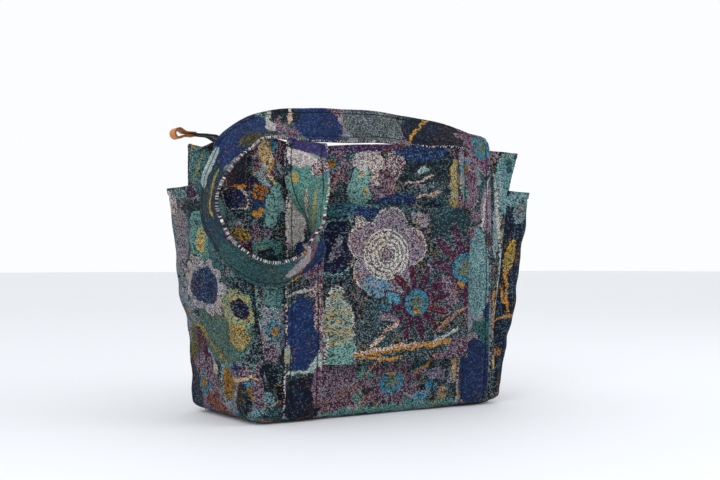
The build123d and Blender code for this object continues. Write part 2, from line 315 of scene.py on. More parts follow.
# Moulded nylon coil: black, smooth and a little waxy, duller where the slider has rubbed it.
zipCoil, tree, shader, place = startMaterial("mouldedNylonCoil", "#1c1d22", 0.38)
rubbed = addNode(tree, "TexNoise", {"Vector": place, "Scale": 0.35, "Detail": 4.0}, "Fac")
colour = addNode(tree, "Mix", {0: rubbed, 6: "#121317", 7: "#33353c"}, 2, data_type="RGBA")
tree.links.new(colour, shader.inputs["Base Color"])
dull = addNode(tree, "Math", {0: rubbed, 1: 0.4, 2: 0.22}, operation="MULTIPLY_ADD")
tree.links.new(dull, shader.inputs["Roughness"])

# Antique brass: cast zinc plated with brass and darkened, so it is brown in the hollows and
# warm and brighter where it is handled, with fine scratches.
brass, tree, shader, place = startMaterial("antiqueBrassPlate", "#8a6f3f", 0.35)
shader.inputs["Metallic"].default_value = 1.0
tarnish = addNode(tree, "TexNoise", {"Vector": place, "Scale": 0.4, "Detail": 5.0, "Roughness": 0.65}, "Fac")
colour = addNode(tree, "ValToRGB", {0: tarnish})
fillRamp(colour, ((0.35, "#5a4628"), (0.66, "#b3935a")), "LINEAR")
tree.links.new(colour, shader.inputs["Base Color"])
dull = addNode(tree, "Math", {0: tarnish, 1: -0.4, 2: 0.55}, operation="MULTIPLY_ADD")
tree.links.new(dull, shader.inputs["Roughness"])
streaks = addNode(tree, "VectorMath", {0: place, 1: (0.5, 8.0, 3.0)}, operation="MULTIPLY")
scratches = addNode(tree, "TexNoise", {"Vector": streaks, "Scale": 1.0, "Detail": 3.0}, "Fac")
ridges = addNode(tree, "Bump", {"Height": scratches, "Strength": 0.3, "Distance": 0.02 * mm})
tree.links.new(ridges, shader.inputs["Normal"])
for part in ("zip_slider", "zip_puller", "zip_top_stops"):
    node = bpy.data.objects[part]
    node.data.materials.clear()
    node.data.materials.append(brass)

# Vegetable-tanned leather dyed saffron: pebbled grain, a soft gloss, and brown burnished cut edges.
leather, tree, shader, place = startMaterial("saffronTannedLeather", "#c97f16", 0.5)
pebbles = addNode(tree, "TexVoronoi", {"Vector": place, "Scale": 1.1}, "Distance")
uneven = addNode(tree, "TexNoise", {"Vector": place, "Scale": 0.22, "Detail": 4.0}, "Fac")
colour = addNode(tree, "Mix", {0: uneven, 6: "#9a5206", 7: "#d07c10"}, 2, data_type="RGBA")
across = addNode(tree, "SeparateXYZ", {0: place}, 1)
across = addNode(tree, "Math", {0: across}, operation="ABSOLUTE")
edge = addNode(tree, "MapRange", {"Value": across, "From Min": 7.6, "From Max": 8.6})
colour = addNode(tree, "Mix", {0: edge, 6: colour, 7: "#6d3c10"}, 2, data_type="RGBA")
tree.links.new(colour, shader.inputs["Base Color"])
ridges = addNode(tree, "Bump", {"Height": pebbles, "Strength": 0.5, "Distance": 0.12 * mm})
tree.links.new(ridges, shader.inputs["Normal"])

# Waxed linen thread: two plies laid together; the light and dark brown that alternate along it are painted
# light and shade on the twist.
sewingThread, tree, shader, place = startMaterial("waxedLinenThread", "#5f3a12", 0.6)
twist = addNode(tree, "TexWave", {"Vector": place, "Scale": 0.8}, "Fac", bands_direction="DIAGONAL")
# painted light and shade: lighter on the plies' crowns, darker in the grooves between them
colour = addNode(tree, "Mix", {0: twist, 6: "#3f240a", 7: "#7c4f1c"}, 2, data_type="RGBA")
tree.links.new(colour, shader.inputs["Base Color"])
print("small materials ready")


thread = {  # dyed cotton yarns
    "slate": "#243138",
    "deep": "#0d121b",
    "stone": "#8b979a",
    "navy": "#182447",
    "royal": "#213b72",
    "tealDeep": "#25464e",
    "teal": "#3d7576",
    "paleTeal": "#86b0b3",
    "seafoam": "#78a99b",
    "turquoise": "#4093b3",
    "burgundy": "#5b2143",
    "plum": "#2c1433",
    "purple": "#4b3567",
    "mauve": "#a39aa6",
    "cream": "#e0d7cf",
    "mustard": "#d3a63f",
    "orange": "#bd7229",
    "olive": "#6f6836",
}
weave = {
    "cell": (1.3, 0.9),  # mm: the woven floats, drawn about twice their real size so that they show
    "wander": 9.5,  # mm: how far the outlines of the print stray
    "ground": 46.0,  # mm: size of the dark ground's own patches
    "fields": 58.0,  # mm: size of the all-over patches
    "scatter": 104.0,  # mm: spacing of the all-over flowers
    "relief": 0.3,  # mm
    "wanderSize": 19,  # mm: from one stray of an outline to the next
    "shadeSize": 30,  # mm: size of the lighter and darker areas
    "curlSize": 9,  # mm: size of the curling lines
    "strapEdge": 25.3,  # mm from a strap's middle to its folded edges
    "strapStitch": 19.0,  # mm from a strap's middle to its stitch line
    "roughness": 0.92,
    "specular": 0.1,
    "sheen": 0.02,
    "sheenRoughness": 0.5,
    "lightness": 0.7,  # of the dyed yarns
}


def reach(tree, place, x, z, w, h, turn):  # distance from a motif's middle, 1 at its edge
    away = addNode(tree, "VectorMath", {0: place, 1: (x, z, 0)}, operation="SUBTRACT")
    c, s = math.cos(math.radians(turn)), math.sin(math.radians(turn))
    along = addNode(tree, "VectorMath", {0: away, 1: (c / w, s / w, 0)}, "Value", operation="DOT_PRODUCT")
    across = addNode(tree, "VectorMath", {0: away, 1: (-s / h, c / h, 0)}, "Value", operation="DOT_PRODUCT")
    flat = addNode(tree, "CombineXYZ", {0: along, 1: across})
    return flat, addNode(tree, "VectorMath", {0: flat}, "Value", operation="LENGTH")


def layYarns(tree, cloth, under, inside, main, second, share):  # one yarn, broken by floats of another
    colour = addNode(tree, "Mix", {0: inside, 6: under, 7: thread[main]}, 2, data_type="RGBA")
    floats = chain(
        tree, "Math", cloth["grain"],
        ("LESS_THAN", share), ("MAXIMUM", cloth["hatch"]), ("MULTIPLY", inside), ("MULTIPLY", 0.82),
    )
    return addNode(tree, "Mix", {0: floats, 6: colour, 7: thread[second]}, 2, data_type="RGBA")


def outline(tree, cloth, under, far, width, yarn):
    edge = addNode(tree, "Math", {0: far, 1: 1 + width}, operation="LESS_THAN")
    kept = addNode(tree, "Math", {0: cloth["grain"], 1: 0.72}, operation="LESS_THAN")
    edge = addNode(tree, "Math", {0: edge, 1: kept}, operation="MULTIPLY")
    return addNode(tree, "Mix", {0: edge, 6: under, 7: thread[yarn]}, 2, data_type="RGBA")


def paintPatch(tree, cloth, under, x, z, w, h, turn, main, second, rim=None, share=0.3):
    far = reach(tree, cloth["place"], x, z, w, h, turn)[1]
    if rim:
        under = outline(tree, cloth, under, far, 2.2 / min(w, h), rim)
    inside = addNode(tree, "Math", {0: far, 1: 1.0}, operation="LESS_THAN")
    return layYarns(tree, cloth, under, inside, main, second, share)


def paintStroke(tree, cloth, under, x0, z0, x1, z1, width, main, second):
    length = math.hypot(x1 - x0, z1 - z0)
    turn = math.degrees(math.atan2(z1 - z0, x1 - x0))
    placed = ((x0 + x1) / 2, (z0 + z1) / 2, length / 1.9, width / 1.8, turn)
    return paintPatch(tree, cloth, under, *placed, main, second, None, 0.38)


def petals(tree, flat, far, count, depth, sharpness):  # the distance, stretched between the petals
    split = addNode(tree, "SeparateXYZ", {0: flat}).node
    angle = chain(tree, "Math", split.outputs[1], ("ARCTAN2", split.outputs[0]), ("MULTIPLY", count / 2))
    lobe = chain(
        tree, "Math", angle,
        ("COSINE",), ("ABSOLUTE",), ("POWER", sharpness), ("MULTIPLY_ADD", depth, 1 - depth),
    )
    return addNode(tree, "Math", {0: far, 1: lobe}, operation="DIVIDE")


def paintBloom(tree, cloth, under, x, z, w, h, *looks):
    count, depth, sharpness, main, second, rim, ring, core, ringShare = looks
    flat, far = reach(tree, cloth["calm"], x, z, w, h, 12)
    shaped = petals(tree, flat, far, count, depth, sharpness)
    under = outline(tree, cloth, under, shaped, 2.6 / w, rim)
    inside = addNode(tree, "Math", {0: shaped, 1: 1.0}, operation="LESS_THAN")
    under = layYarns(tree, cloth, under, inside, main, second, 0.2)
    if ring:
        inside = addNode(tree, "Math", {0: far, 1: ringShare}, operation="LESS_THAN")
        under = layYarns(tree, cloth, under, inside, ring, "slate", 0.25)
        inside = addNode(tree, "Math", {0: far, 1: ringShare * 0.62}, operation="LESS_THAN")
        under = layYarns(tree, cloth, under, inside, core, ring, 0.2)
    return under


def paintRose(tree, cloth, under, x, z, radius):  # a pale disc of dashed rings round a dark red eye
    far = reach(tree, cloth["calm"], x, z, radius, radius, 0)[1]
    inside = addNode(tree, "Math", {0: far, 1: 1.0}, operation="LESS_THAN")
    under = addNode(tree, "Mix", {0: inside, 6: under, 7: thread["cream"]}, 2, data_type="RGBA")
    rings = chain(
        tree, "Math", far,
        ("MULTIPLY", radius * 2 * math.pi / 6.2), ("SINE",), ("LESS_THAN", -0.1),
    )
    dash = chain(
        tree, "Math", cloth["grain"],
        ("LESS_THAN", 0.74), ("MULTIPLY", rings), ("MULTIPLY", inside), ("MULTIPLY", 0.8),
    )
    under = addNode(tree, "Mix", {0: dash, 6: under, 7: thread["slate"]}, 2, data_type="RGBA")
    inside = addNode(tree, "Math", {0: far, 1: 0.27}, operation="LESS_THAN")
    return layYarns(tree, cloth, under, inside, "burgundy", "mauve", 0.35)


painters = {"patch": paintPatch, "stroke": paintStroke, "bloom": paintBloom, "rose": paintRose}


# Jacquard tapestry: a thick cotton cloth whose picture is in the weave. To the eye it is matt, its
# colours are broken into salt-and-pepper floats of two yarns, and its outlines step from float to float.
def weaveTapestry(name, shift, motifs, wild=1.0, straps=False):
    material = bpy.data.materials.new(name)
    material.use_nodes = True
    tree = material.node_tree
    shader = tree.nodes["Principled BSDF"]
    uv = addNode(tree, "UVMap", {}, uv_map="UVMap")
    flat = addNode(tree, "VectorMath", {0: uv, 1: (1 / mm, 1 / mm, 0)}, operation="MULTIPLY")
    cell = addNode(tree, "VectorMath", {0: flat, 1: (*weave["cell"], 1)}, operation="SNAP")
    stray = {"Vector": cell, "Scale": 1 / weave["wanderSize"], "Detail": 4.0, "Roughness": 0.68}
    stray = addNode(tree, "TexNoise", stray, "Color")
    stray = addNode(tree, "VectorMath", {0: stray, 1: (0.5, 0.5, 0.5)}, operation="SUBTRACT")
    reachOut = (weave["wander"] * 2, weave["wander"] * 2, 0)
    place = addNode(tree, "VectorMath", {0: stray, 1: reachOut, 2: cell}, operation="MULTIPLY_ADD")
    random = addNode(tree, "TexWhiteNoise", {"Vector": cell}, "Color", noise_dimensions="2D")
    grains = addNode(tree, "SeparateColor", {0: random}).node
    moved = addNode(tree, "VectorMath", {0: place, 1: shift}, operation="ADD")
    wave = {"Vector": moved, "Scale": 0.06, "Distortion": 16.0, "Detail": 2.0, "Detail Scale": 0.9}
    hatch = addNode(tree, "TexWave", wave, "Fac", wave_type="BANDS")
    hatch = addNode(tree, "Math", {0: hatch, 1: 0.84}, operation="GREATER_THAN")
    kept = addNode(tree, "Math", {0: grains.outputs[1], 1: 0.75}, operation="LESS_THAN")
    hatch = addNode(tree, "Math", {0: hatch, 1: kept}, operation="MULTIPLY")
    reachOut = (weave["wander"] * 0.5, weave["wander"] * 0.5, 0)
    calm = addNode(tree, "VectorMath", {0: stray, 1: reachOut, 2: cell}, operation="MULTIPLY_ADD")
    cloth = {"place": place, "calm": calm, "grain": grains.outputs[0], "hatch": hatch}

    # the dark ground, its grey pepper and its own pale contour lines
    patches = {"Vector": moved, "Scale": 1 / weave["ground"], "Detail": 2.0}
    patches = addNode(tree, "TexNoise", patches, "Fac")
    colour = addNode(tree, "ValToRGB", {0: patches})
    steps = ((0.0, "tealDeep"), (0.41, "slate"), (0.53, "deep"), (0.60, "navy"), (0.68, "plum"))
    fillRamp(colour, [(position, thread[yarn]) for position, yarn in steps])
    pepper = addNode(tree, "Math", {0: grains.outputs[1], 1: 0.84}, operation="GREATER_THAN")
    lines = chain(tree, "Math", patches, ("GREATER_THAN", 0.5), ("MULTIPLY", hatch))
    pepper = chain(tree, "Math", pepper, ("MAXIMUM", lines), ("MULTIPLY", 0.6))
    colour = addNode(tree, "Mix", {0: pepper, 6: colour, 7: thread["stone"]}, 2, data_type="RGBA")

    if wild > 0:  # all-over patches, each of two yarns, and then flowers
        for size, share in ((weave["fields"], 0.55), (weave["fields"] * 0.4, 0.36)):
            spread = addNode(tree, "TexVoronoi", {"Vector": moved, "Scale": 1 / size}, "Color")
            drawn = addNode(tree, "SeparateColor", {0: spread}).node
            yarns = []
            for channel, names in (
                (0, ("teal", "burgundy", "seafoam", "royal", "slate", "mauve", "navy", "paleTeal")),
                (1, ("paleTeal", "plum", "slate", "mauve", "deep", "tealDeep", "mustard", "cream")),
            ):
                yarn = addNode(tree, "ValToRGB", {0: drawn.outputs[channel]})
                fillRamp(yarn, [(k / len(names), thread[given]) for k, given in enumerate(names)])
                yarns.append(yarn)
            spots = chain(tree, "Math", grains.outputs[2], ("LESS_THAN", 0.3), ("MAXIMUM", hatch))
            field = addNode(tree, "Mix", {0: spots, 6: yarns[0], 7: yarns[1]}, 2, data_type="RGBA")
            chosen = addNode(tree, "Math", {0: drawn.outputs[2], 1: share * wild}, operation="LESS_THAN")
            inside = spread.node.outputs["Distance"]
            inside = addNode(tree, "Math", {0: inside, 1: 0.54}, operation="LESS_THAN")
            chosen = addNode(tree, "Math", {0: chosen, 1: inside}, operation="MULTIPLY")
            colour = addNode(tree, "Mix", {0: chosen, 6: colour, 7: field}, 2, data_type="RGBA")
        spread = {"Vector": moved, "Scale": 1 / weave["scatter"], "Randomness": 0.55}
        spread = addNode(tree, "TexVoronoi", spread, "Position")
        away = chain(tree, "VectorMath", moved, ("SUBTRACT", spread), ("MULTIPLY", (1, 1, 0)))
        far = addNode(tree, "VectorMath", {0: away}, "Value", operation="LENGTH")
        drawn = addNode(tree, "SeparateColor", {0: spread.node.outputs["Color"]}).node
        size = addNode(tree, "Math", {0: drawn.outputs[1], 1: 16.0, 2: 30.0}, operation="MULTIPLY_ADD")
        far = addNode(tree, "Math", {0: far, 1: size}, operation="DIVIDE")
        shaped = petals(tree, away, far, 9, 0.55, 0.8)
        colour = outline(tree, cloth, colour, shaped, 0.09, "mauve")
        inside = addNode(tree, "Math", {0: shaped, 1: 1.0}, operation="LESS_THAN")
        colour = layYarns(tree, cloth, colour, inside, "burgundy", "mauve", 0.25)
        pale = addNode(tree, "Math", {0: drawn.outputs[0], 1: 0.5}, operation="GREATER_THAN")
        inside = addNode(tree, "Math", {0: inside, 1: pale}, operation="MULTIPLY")
        colour = layYarns(tree, cloth, colour, inside, "mauve", "teal", 0.3)
        inside = addNode(tree, "Math", {0: far, 1: 0.34}, operation="LESS_THAN")
        colour = layYarns(tree, cloth, colour, inside, "turquoise", "slate", 0.25)
        inside = addNode(tree, "Math", {0: far, 1: 0.21}, operation="LESS_THAN")
        colour = layYarns(tree, cloth, colour, inside, "olive", "orange", 0.35)

    for kind, *numbers in motifs:
        colour = painters[kind](tree, cloth, colour, *numbers)

    # curling lines of dark yarn over everything, and a few of pale yarn
    curls = addNode(tree, "VectorMath", {0: moved, 1: (311, 97, 0)}, operation="ADD")
    curls = {"Vector": curls, "Scale": 1 / weave["curlSize"], "Detail": 1.5, "Distortion": 0.8}
    curls = addNode(tree, "TexNoise", curls, "Fac")
    kept = addNode(tree, "Math", {0: grains.outputs[2], 1: 0.72}, operation="LESS_THAN")
    bands = chain(tree, "Math", curls, ("MULTIPLY", 46.0), ("SINE",))
    dark = chain(tree, "Math", bands, ("GREATER_THAN", 0.62), ("MULTIPLY", kept))
    floats = addNode(tree, "Math", {0: grains.outputs[2], 1: 0.84}, operation="GREATER_THAN")
    dark = chain(tree, "Math", dark, ("MAXIMUM", floats), ("MULTIPLY", 0.5 if straps else 0.85))
    colour = addNode(tree, "Mix", {0: dark, 6: colour, 7: thread["deep"]}, 2, data_type="RGBA")
    light = chain(
        tree, "Math", bands,
        ("LESS_THAN", -0.86), ("MULTIPLY", kept), ("MULTIPLY", 0.2 if straps else 0.42),
    )
    yarn = addNode(tree, "Math", {0: patches, 1: 0.56}, operation="GREATER_THAN")
    yarn = addNode(tree, "Mix", {0: yarn, 6: thread["paleTeal"], 7: thread["mustard"]}, 2, data_type="RGBA")
    colour = addNode(tree, "Mix", {0: light, 6: colour, 7: yarn}, 2, data_type="RGBA")

    if straps:  # pale yarn ends along the folded edges, and painted shade darkening the sunk stitch line beside them
        across = addNode(tree, "SeparateXYZ", {0: flat})
        across = addNode(tree, "Math", {0: across}, operation="ABSOLUTE")
        edge = addNode(tree, "Math", {0: across, 1: weave["strapEdge"]}, operation="GREATER_THAN")
        kept = addNode(tree, "Math", {0: grains.outputs[2], 1: 0.45}, operation="LESS_THAN")
        edge = addNode(tree, "Math", {0: edge, 1: kept}, operation="MULTIPLY")
        paleEnds = addNode(tree, "Math", {0: grains.outputs[0], 1: 0.4}, operation="LESS_THAN")
        ends = {0: paleEnds, 6: thread["cream"], 7: thread["burgundy"]}
        ends = addNode(tree, "Mix", ends, 2, data_type="RGBA")
        colour = addNode(tree, "Mix", {0: edge, 6: colour, 7: ends}, 2, data_type="RGBA")
        # painted shade: a dark line along the sunk stitch line, where shade falls in the furrow
        furrow = chain(
            tree, "Math", across,
            ("SUBTRACT", weave["strapStitch"]), ("ABSOLUTE",), ("LESS_THAN", 0.9), ("MULTIPLY", 0.75),
        )
        colour = addNode(tree, "Mix", {0: furrow, 6: colour, 7: thread["deep"]}, 2, data_type="RGBA")

    # each float is a little lighter or darker than the next, and so are whole areas
    shade = {0: grains.outputs[1], 1: 0.4, 2: weave["lightness"] - 0.2}
    shade = addNode(tree, "Math", shade, operation="MULTIPLY_ADD")
    area = addNode(tree, "TexNoise", {"Vector": flat, "Scale": 1 / weave["shadeSize"], "Detail": 3.0}, "Fac")
    area = addNode(tree, "Math", {0: area, 1: 0.7, 2: 0.65}, operation="MULTIPLY_ADD")
    shade = addNode(tree, "Math", {0: shade, 1: area}, operation="MULTIPLY")
    colour = addNode(tree, "VectorMath", {0: colour, "Scale": shade}, operation="SCALE")
    tree.links.new(colour, shader.inputs["Base Color"])

    # relief: one small dome for each float, some standing higher
    turns = (math.pi / weave["cell"][0], math.pi / weave["cell"][1], 0)
    domes = chain(tree, "VectorMath", flat, ("MULTIPLY", turns), ("SINE",), ("ABSOLUTE",))
    domes = addNode(tree, "SeparateXYZ", {0: domes}).node
    height = addNode(tree, "Math", {0: domes.outputs[0], 1: domes.outputs[1]}, operation="MULTIPLY")
    height = addNode(tree, "Math", {0: grains.outputs[2], 1: 0.7, 2: height}, operation="MULTIPLY_ADD")
    bump = {"Height": height, "Strength": 0.8, "Distance": weave["relief"] * mm}
    tree.links.new(addNode(tree, "Bump", bump), shader.inputs["Normal"])
    shader.inputs["Roughness"].default_value = weave["roughness"]
    shader.inputs["Specular IOR Level"].default_value = weave["specular"]
    shader.inputs["Sheen Weight"].default_value = weave["sheen"]
    shader.inputs["Sheen Roughness"].default_value = weave["sheenRoughness"]
    return material


sleevePrint = [
    ("patch", -78, 262, 34, 9, 4, "teal", "royal"),
    ("patch", -55, 255, 22, 7, -12, "royal", "navy"),
    ("patch", 72, 250, 44, 17, 0, "tealDeep", "slate"),
    ("patch", 22, 252, 16, 8, -20, "mauve", "navy"),
    ("patch", -93, 214, 19, 33, -8, "navy", "plum", "paleTeal"),
    ("stroke", -90, 226, -97, 198, 7, "mauve", "navy"),
    ("bloom", -27, 208, 57, 55, 5, 0.30, 0.7, "mauve", "burgundy", "cream", None, None, 0),
    ("patch", -42, 164, 22, 12, -20, "turquoise", "mauve"),
    ("patch", -66, 246, 9, 8, 0, "cream", "burgundy"),
    ("rose", -28, 205, 32.5),
    ("bloom", 95, 188, 60, 62, 11, 0.72, 1.3, "burgundy", "plum", "mauve", "turquoise", "olive", 0.33),
    ("stroke", 84, 168, 96, 163, 5, "orange", "mustard"),
    ("patch", 72, 158, 12, 22, 30, "burgundy", "mauve"),
    ("bloom", 20, 143, 53, 50, 12, 0.72, 1.3, "burgundy", "plum", "mauve", "turquoise", "olive", 0.34),
    ("stroke", 13, 131, 27, 131, 5, "orange", "mustard"),
    ("patch", -15, 150, 10, 7, -25, "turquoise", "paleTeal"),
    ("patch", -28, 136, 11, 4, 10, "turquoise", "navy"),
    ("patch", -20, 124, 15, 5, -8, "mauve", "burgundy"),
    ("patch", -93, 140, 9, 22, 0, "paleTeal", "mustard", "cream"),
    ("patch", -90, 118, 18, 27, 0, "paleTeal", "mustard", "cream"),
    ("patch", -87, 84, 20, 18, 0, "seafoam", "paleTeal"),
    ("stroke", -104, 94, -70, 97, 5, "mustard", "paleTeal"),
    ("patch", -106, 88, 7, 24, 0, "cream", "deep"),
    ("stroke", -70, 80, 98, 94, 7, "orange", "mustard"),
    ("stroke", -72, 82, 30, 92, 5, "cream", "orange"),
    ("stroke", -48, 88, -4, 122, 5, "cream", "orange"),
    ("stroke", -60, 76, 4, 72, 4, "orange", "mustard"),
    ("stroke", 44, 90, 88, 108, 4, "cream", "paleTeal"),
    ("stroke", 46, 104, 100, 137, 4, "orange", "mauve"),
    ("patch", 86, 84, 17, 14, 20, "burgundy", "mauve"),
    ("patch", 60, 73, 18, 5, 0, "burgundy", "mauve"),
]
rearPrint = [
    ("patch", -187, 326, 9, 20, 8, "mustard", "cream"),
    ("stroke", -182, 306, -176, 286, 5, "cream", "mustard"),
    ("patch", -195, 279, 10, 11, 20, "orange", "deep"),
    ("stroke", -205, 252, -183, 258, 6, "orange", "mustard"),
    ("patch", -176, 264, 10, 29, -8, "seafoam", "paleTeal"),
    ("patch", -184, 212, 18, 14, 0, "teal", "seafoam"),
    ("patch", -185, 203, 13, 9, 0, "slate", "tealDeep"),
    ("patch", -176, 160, 14, 28, 5, "teal", "paleTeal"),
    ("stroke", -187, 138, -166, 136, 3, "cream", "teal"),
    ("patch", -179, 80, 10, 14, 0, "burgundy", "mauve"),
    ("patch", -190, 54, 22, 24, 0, "deep", "slate"),
    ("patch", -190, 22, 15, 18, 0, "paleTeal", "navy"),
    ("patch", -160, 10, 32, 11, -8, "tealDeep", "slate", "orange"),
    ("patch", 40, 325, 70, 26, 0, "slate", "deep"),
    ("patch", -52, 291, 18, 26, -10, "seafoam", "paleTeal"),
    ("patch", -50, 306, 6, 4, 30, "mustard", "cream"),
    ("patch", -43, 286, 4, 7, 20, "mustard", "seafoam"),
    ("patch", -40, 325, 26, 13, -4, "cream", "mauve"),
    ("patch", 0, 322, 17, 20, 0, "burgundy", "cream"),
    ("patch", -17, 294, 21, 20, 20, "burgundy", "mauve"),
    ("patch", -28, 303, 9, 9, 0, "cream", "burgundy"),
    ("stroke", -104, 338, 22, 346, 9, "purple", "burgundy"),
    ("patch", 46, 341, 44, 11, 3, "royal", "navy"),
    ("patch", 6, 276, 32, 8, 4, "royal", "navy"),
    ("stroke", 20, 299, 64, 309, 4, "cream", "orange"),
    ("stroke", 36, 279, 80, 292, 4, "cream", "orange"),
    ("patch", 47, 319, 10, 4, 0, "paleTeal", "cream"),
    ("patch", 102, 298, 10, 38, 0, "mustard", "paleTeal"),
    ("patch", 192, 308, 20, 46, -5, "paleTeal", "teal"),
    ("patch", 197, 332, 7, 12, 0, "tealDeep", "teal"),
    ("patch", 178, 262, 7, 60, -4, "paleTeal", "mauve"),
    ("stroke", 172, 318, 186, 205, 6, "cream", "paleTeal"),
    ("stroke", 186, 215, 178, 84, 6, "cream", "paleTeal"),
    ("stroke", 172, 160, 174, 92, 4, "mustard", "orange"),
    ("patch", 176, 62, 5, 17, -15, "mustard", "cream"),
    ("bloom", 0, 40, 56, 42, 9, 0.66, 1.2, "burgundy", "mauve", "mauve", "turquoise", "olive", 0.34),
    ("stroke", -8, 52, 8, 52, 5, "orange", "mustard"),
    ("patch", 47, 20, 12, 5, -8, "turquoise", "paleTeal"),
    ("patch", 62, 32, 10, 5, 10, "turquoise", "navy"),
    ("patch", 74, 48, 16, 8, 10, "mauve", "purple"),
    ("stroke", -48, 52, -12, 72, 3, "orange", "cream"),
    ("stroke", 36, 48, 76, 72, 4, "orange", "mustard"),
    ("patch", -78, 44, 24, 26, 0, "burgundy", "mauve"),
    ("patch", 106, 56, 8, 22, 10, "mustard", "cream"),
    ("stroke", -110, 5, 140, 8, 10, "teal", "seafoam"),
]
leftPocketPrint = [
    ("patch", 190, 274, 16, 16, 0, "cream", "burgundy"),
    ("patch", 160, 284, 24, 7, 0, "paleTeal", "deep"),
    ("patch", 122, 282, 15, 8, 0, "plum", "burgundy", "mauve"),
    ("patch", 120, 264, 48, 9, 0, "slate", "deep"),
    ("patch", 166, 232, 24, 32, 0, "mauve", "slate"),
    ("patch", 115, 226, 22, 34, 0, "seafoam", "teal"),
    ("patch", 112, 226, 8, 15, 10, "mustard", "seafoam"),
    ("patch", 132, 202, 7, 5, 0, "mustard", "cream"),
    ("patch", 76, 214, 22, 46, 0, "teal", "slate"),
    ("patch", 85, 116, 62, 42, 0, "teal", "olive"),
    ("bloom", 108, 168, 62, 36, 11, 0.34, 0.5, "mauve", "cream", "deep", None, None, 0),
    ("patch", 108, 168, 39, 22, 0, "navy", "royal"),
    ("patch", 40, 140, 25, 26, 0, "seafoam", "mustard"),
    ("patch", 34, 143, 12, 13, -30, "plum", "navy", "mustard"),
    ("patch", 46, 111, 17, 16, -20, "mustard", "teal"),
    ("stroke", 172, 132, 78, 70, 6, "olive", "mustard"),
    ("patch", 176, 96, 14, 30, 20, "olive", "slate"),
    ("patch", 150, 92, 17, 18, 30, "burgundy", "plum"),
    ("stroke", 152, 90, 122, 26, 16, "burgundy", "mauve"),
    ("patch", 118, 66, 12, 6, -10, "cream", "mustard"),
    ("patch", 86, 52, 13, 21, 10, "olive", "orange", "paleTeal"),
    ("stroke", 28, 62, 78, 56, 5, "mustard", "cream"),
    ("patch", 50, 30, 16, 22, 0, "deep", "slate"),
    ("patch", 22, 40, 9, 20, -15, "burgundy", "mauve"),
    ("patch", 16, 12, 34, 13, 0, "paleTeal", "navy"),
    ("patch", 118, 18, 30, 12, 25, "burgundy", "orange"),
    ("patch", 190, 34, 24, 42, 0, "navy", "deep"),
    ("patch", 6, 130, 12, 74, 0, "deep", "slate"),
    ("patch", 10, 288, 18, 10, 0, "plum", "navy"),
    ("patch", 26, 271, 15, 12, 0, "navy", "royal", "cream"),
    ("stroke", 10, 283, 40, 287, 4, "orange", "mustard"),
    ("patch", 36, 238, 9, 20, 0, "teal", "mauve"),
    ("patch", 24, 231, 14, 8, 10, "mustard", "deep"),
    ("patch", 13, 209, 13, 12, 0, "plum", "burgundy"),
]
rightPocketPrint = [
    ("patch", 20, 170, 70, 150, 0, "deep", "navy", None, 0.5),
    ("patch", 14, 284, 30, 12, 0, "paleTeal", "slate"),
    ("patch", 16, 268, 9, 15, 0, "stone", "deep", "paleTeal"),
    ("patch", 8, 206, 7, 20, -15, "olive", "mustard", "mustard"),
    ("stroke", 2, 190, 14, 130, 4, "orange", "mustard"),
    ("stroke", -6, 164, 18, 128, 4, "orange", "mustard"),
    ("stroke", -4, 118, 32, 126, 4, "orange", "mustard"),
    ("patch", 12, 76, 9, 6, 0, "orange", "deep"),
]
gussetPrint = [
    # the plum and navy patch high on the near side is partly the gusset's own dark purple and partly painted
    # shade, where the gusset lies in shade above the pocket mouth
    ("patch", -36, 300, 40, 60, 0, "plum", "navy"),
    ("patch", 60, 316, 24, 40, 0, "teal", "paleTeal"),
    ("stroke", 72, 292, 52, 338, 4, "mustard", "seafoam"),
    ("stroke", 60, 286, 42, 326, 4, "seafoam", "mustard"),
    ("patch", 74, 344, 12, 8, 0, "olive", "mustard"),
]
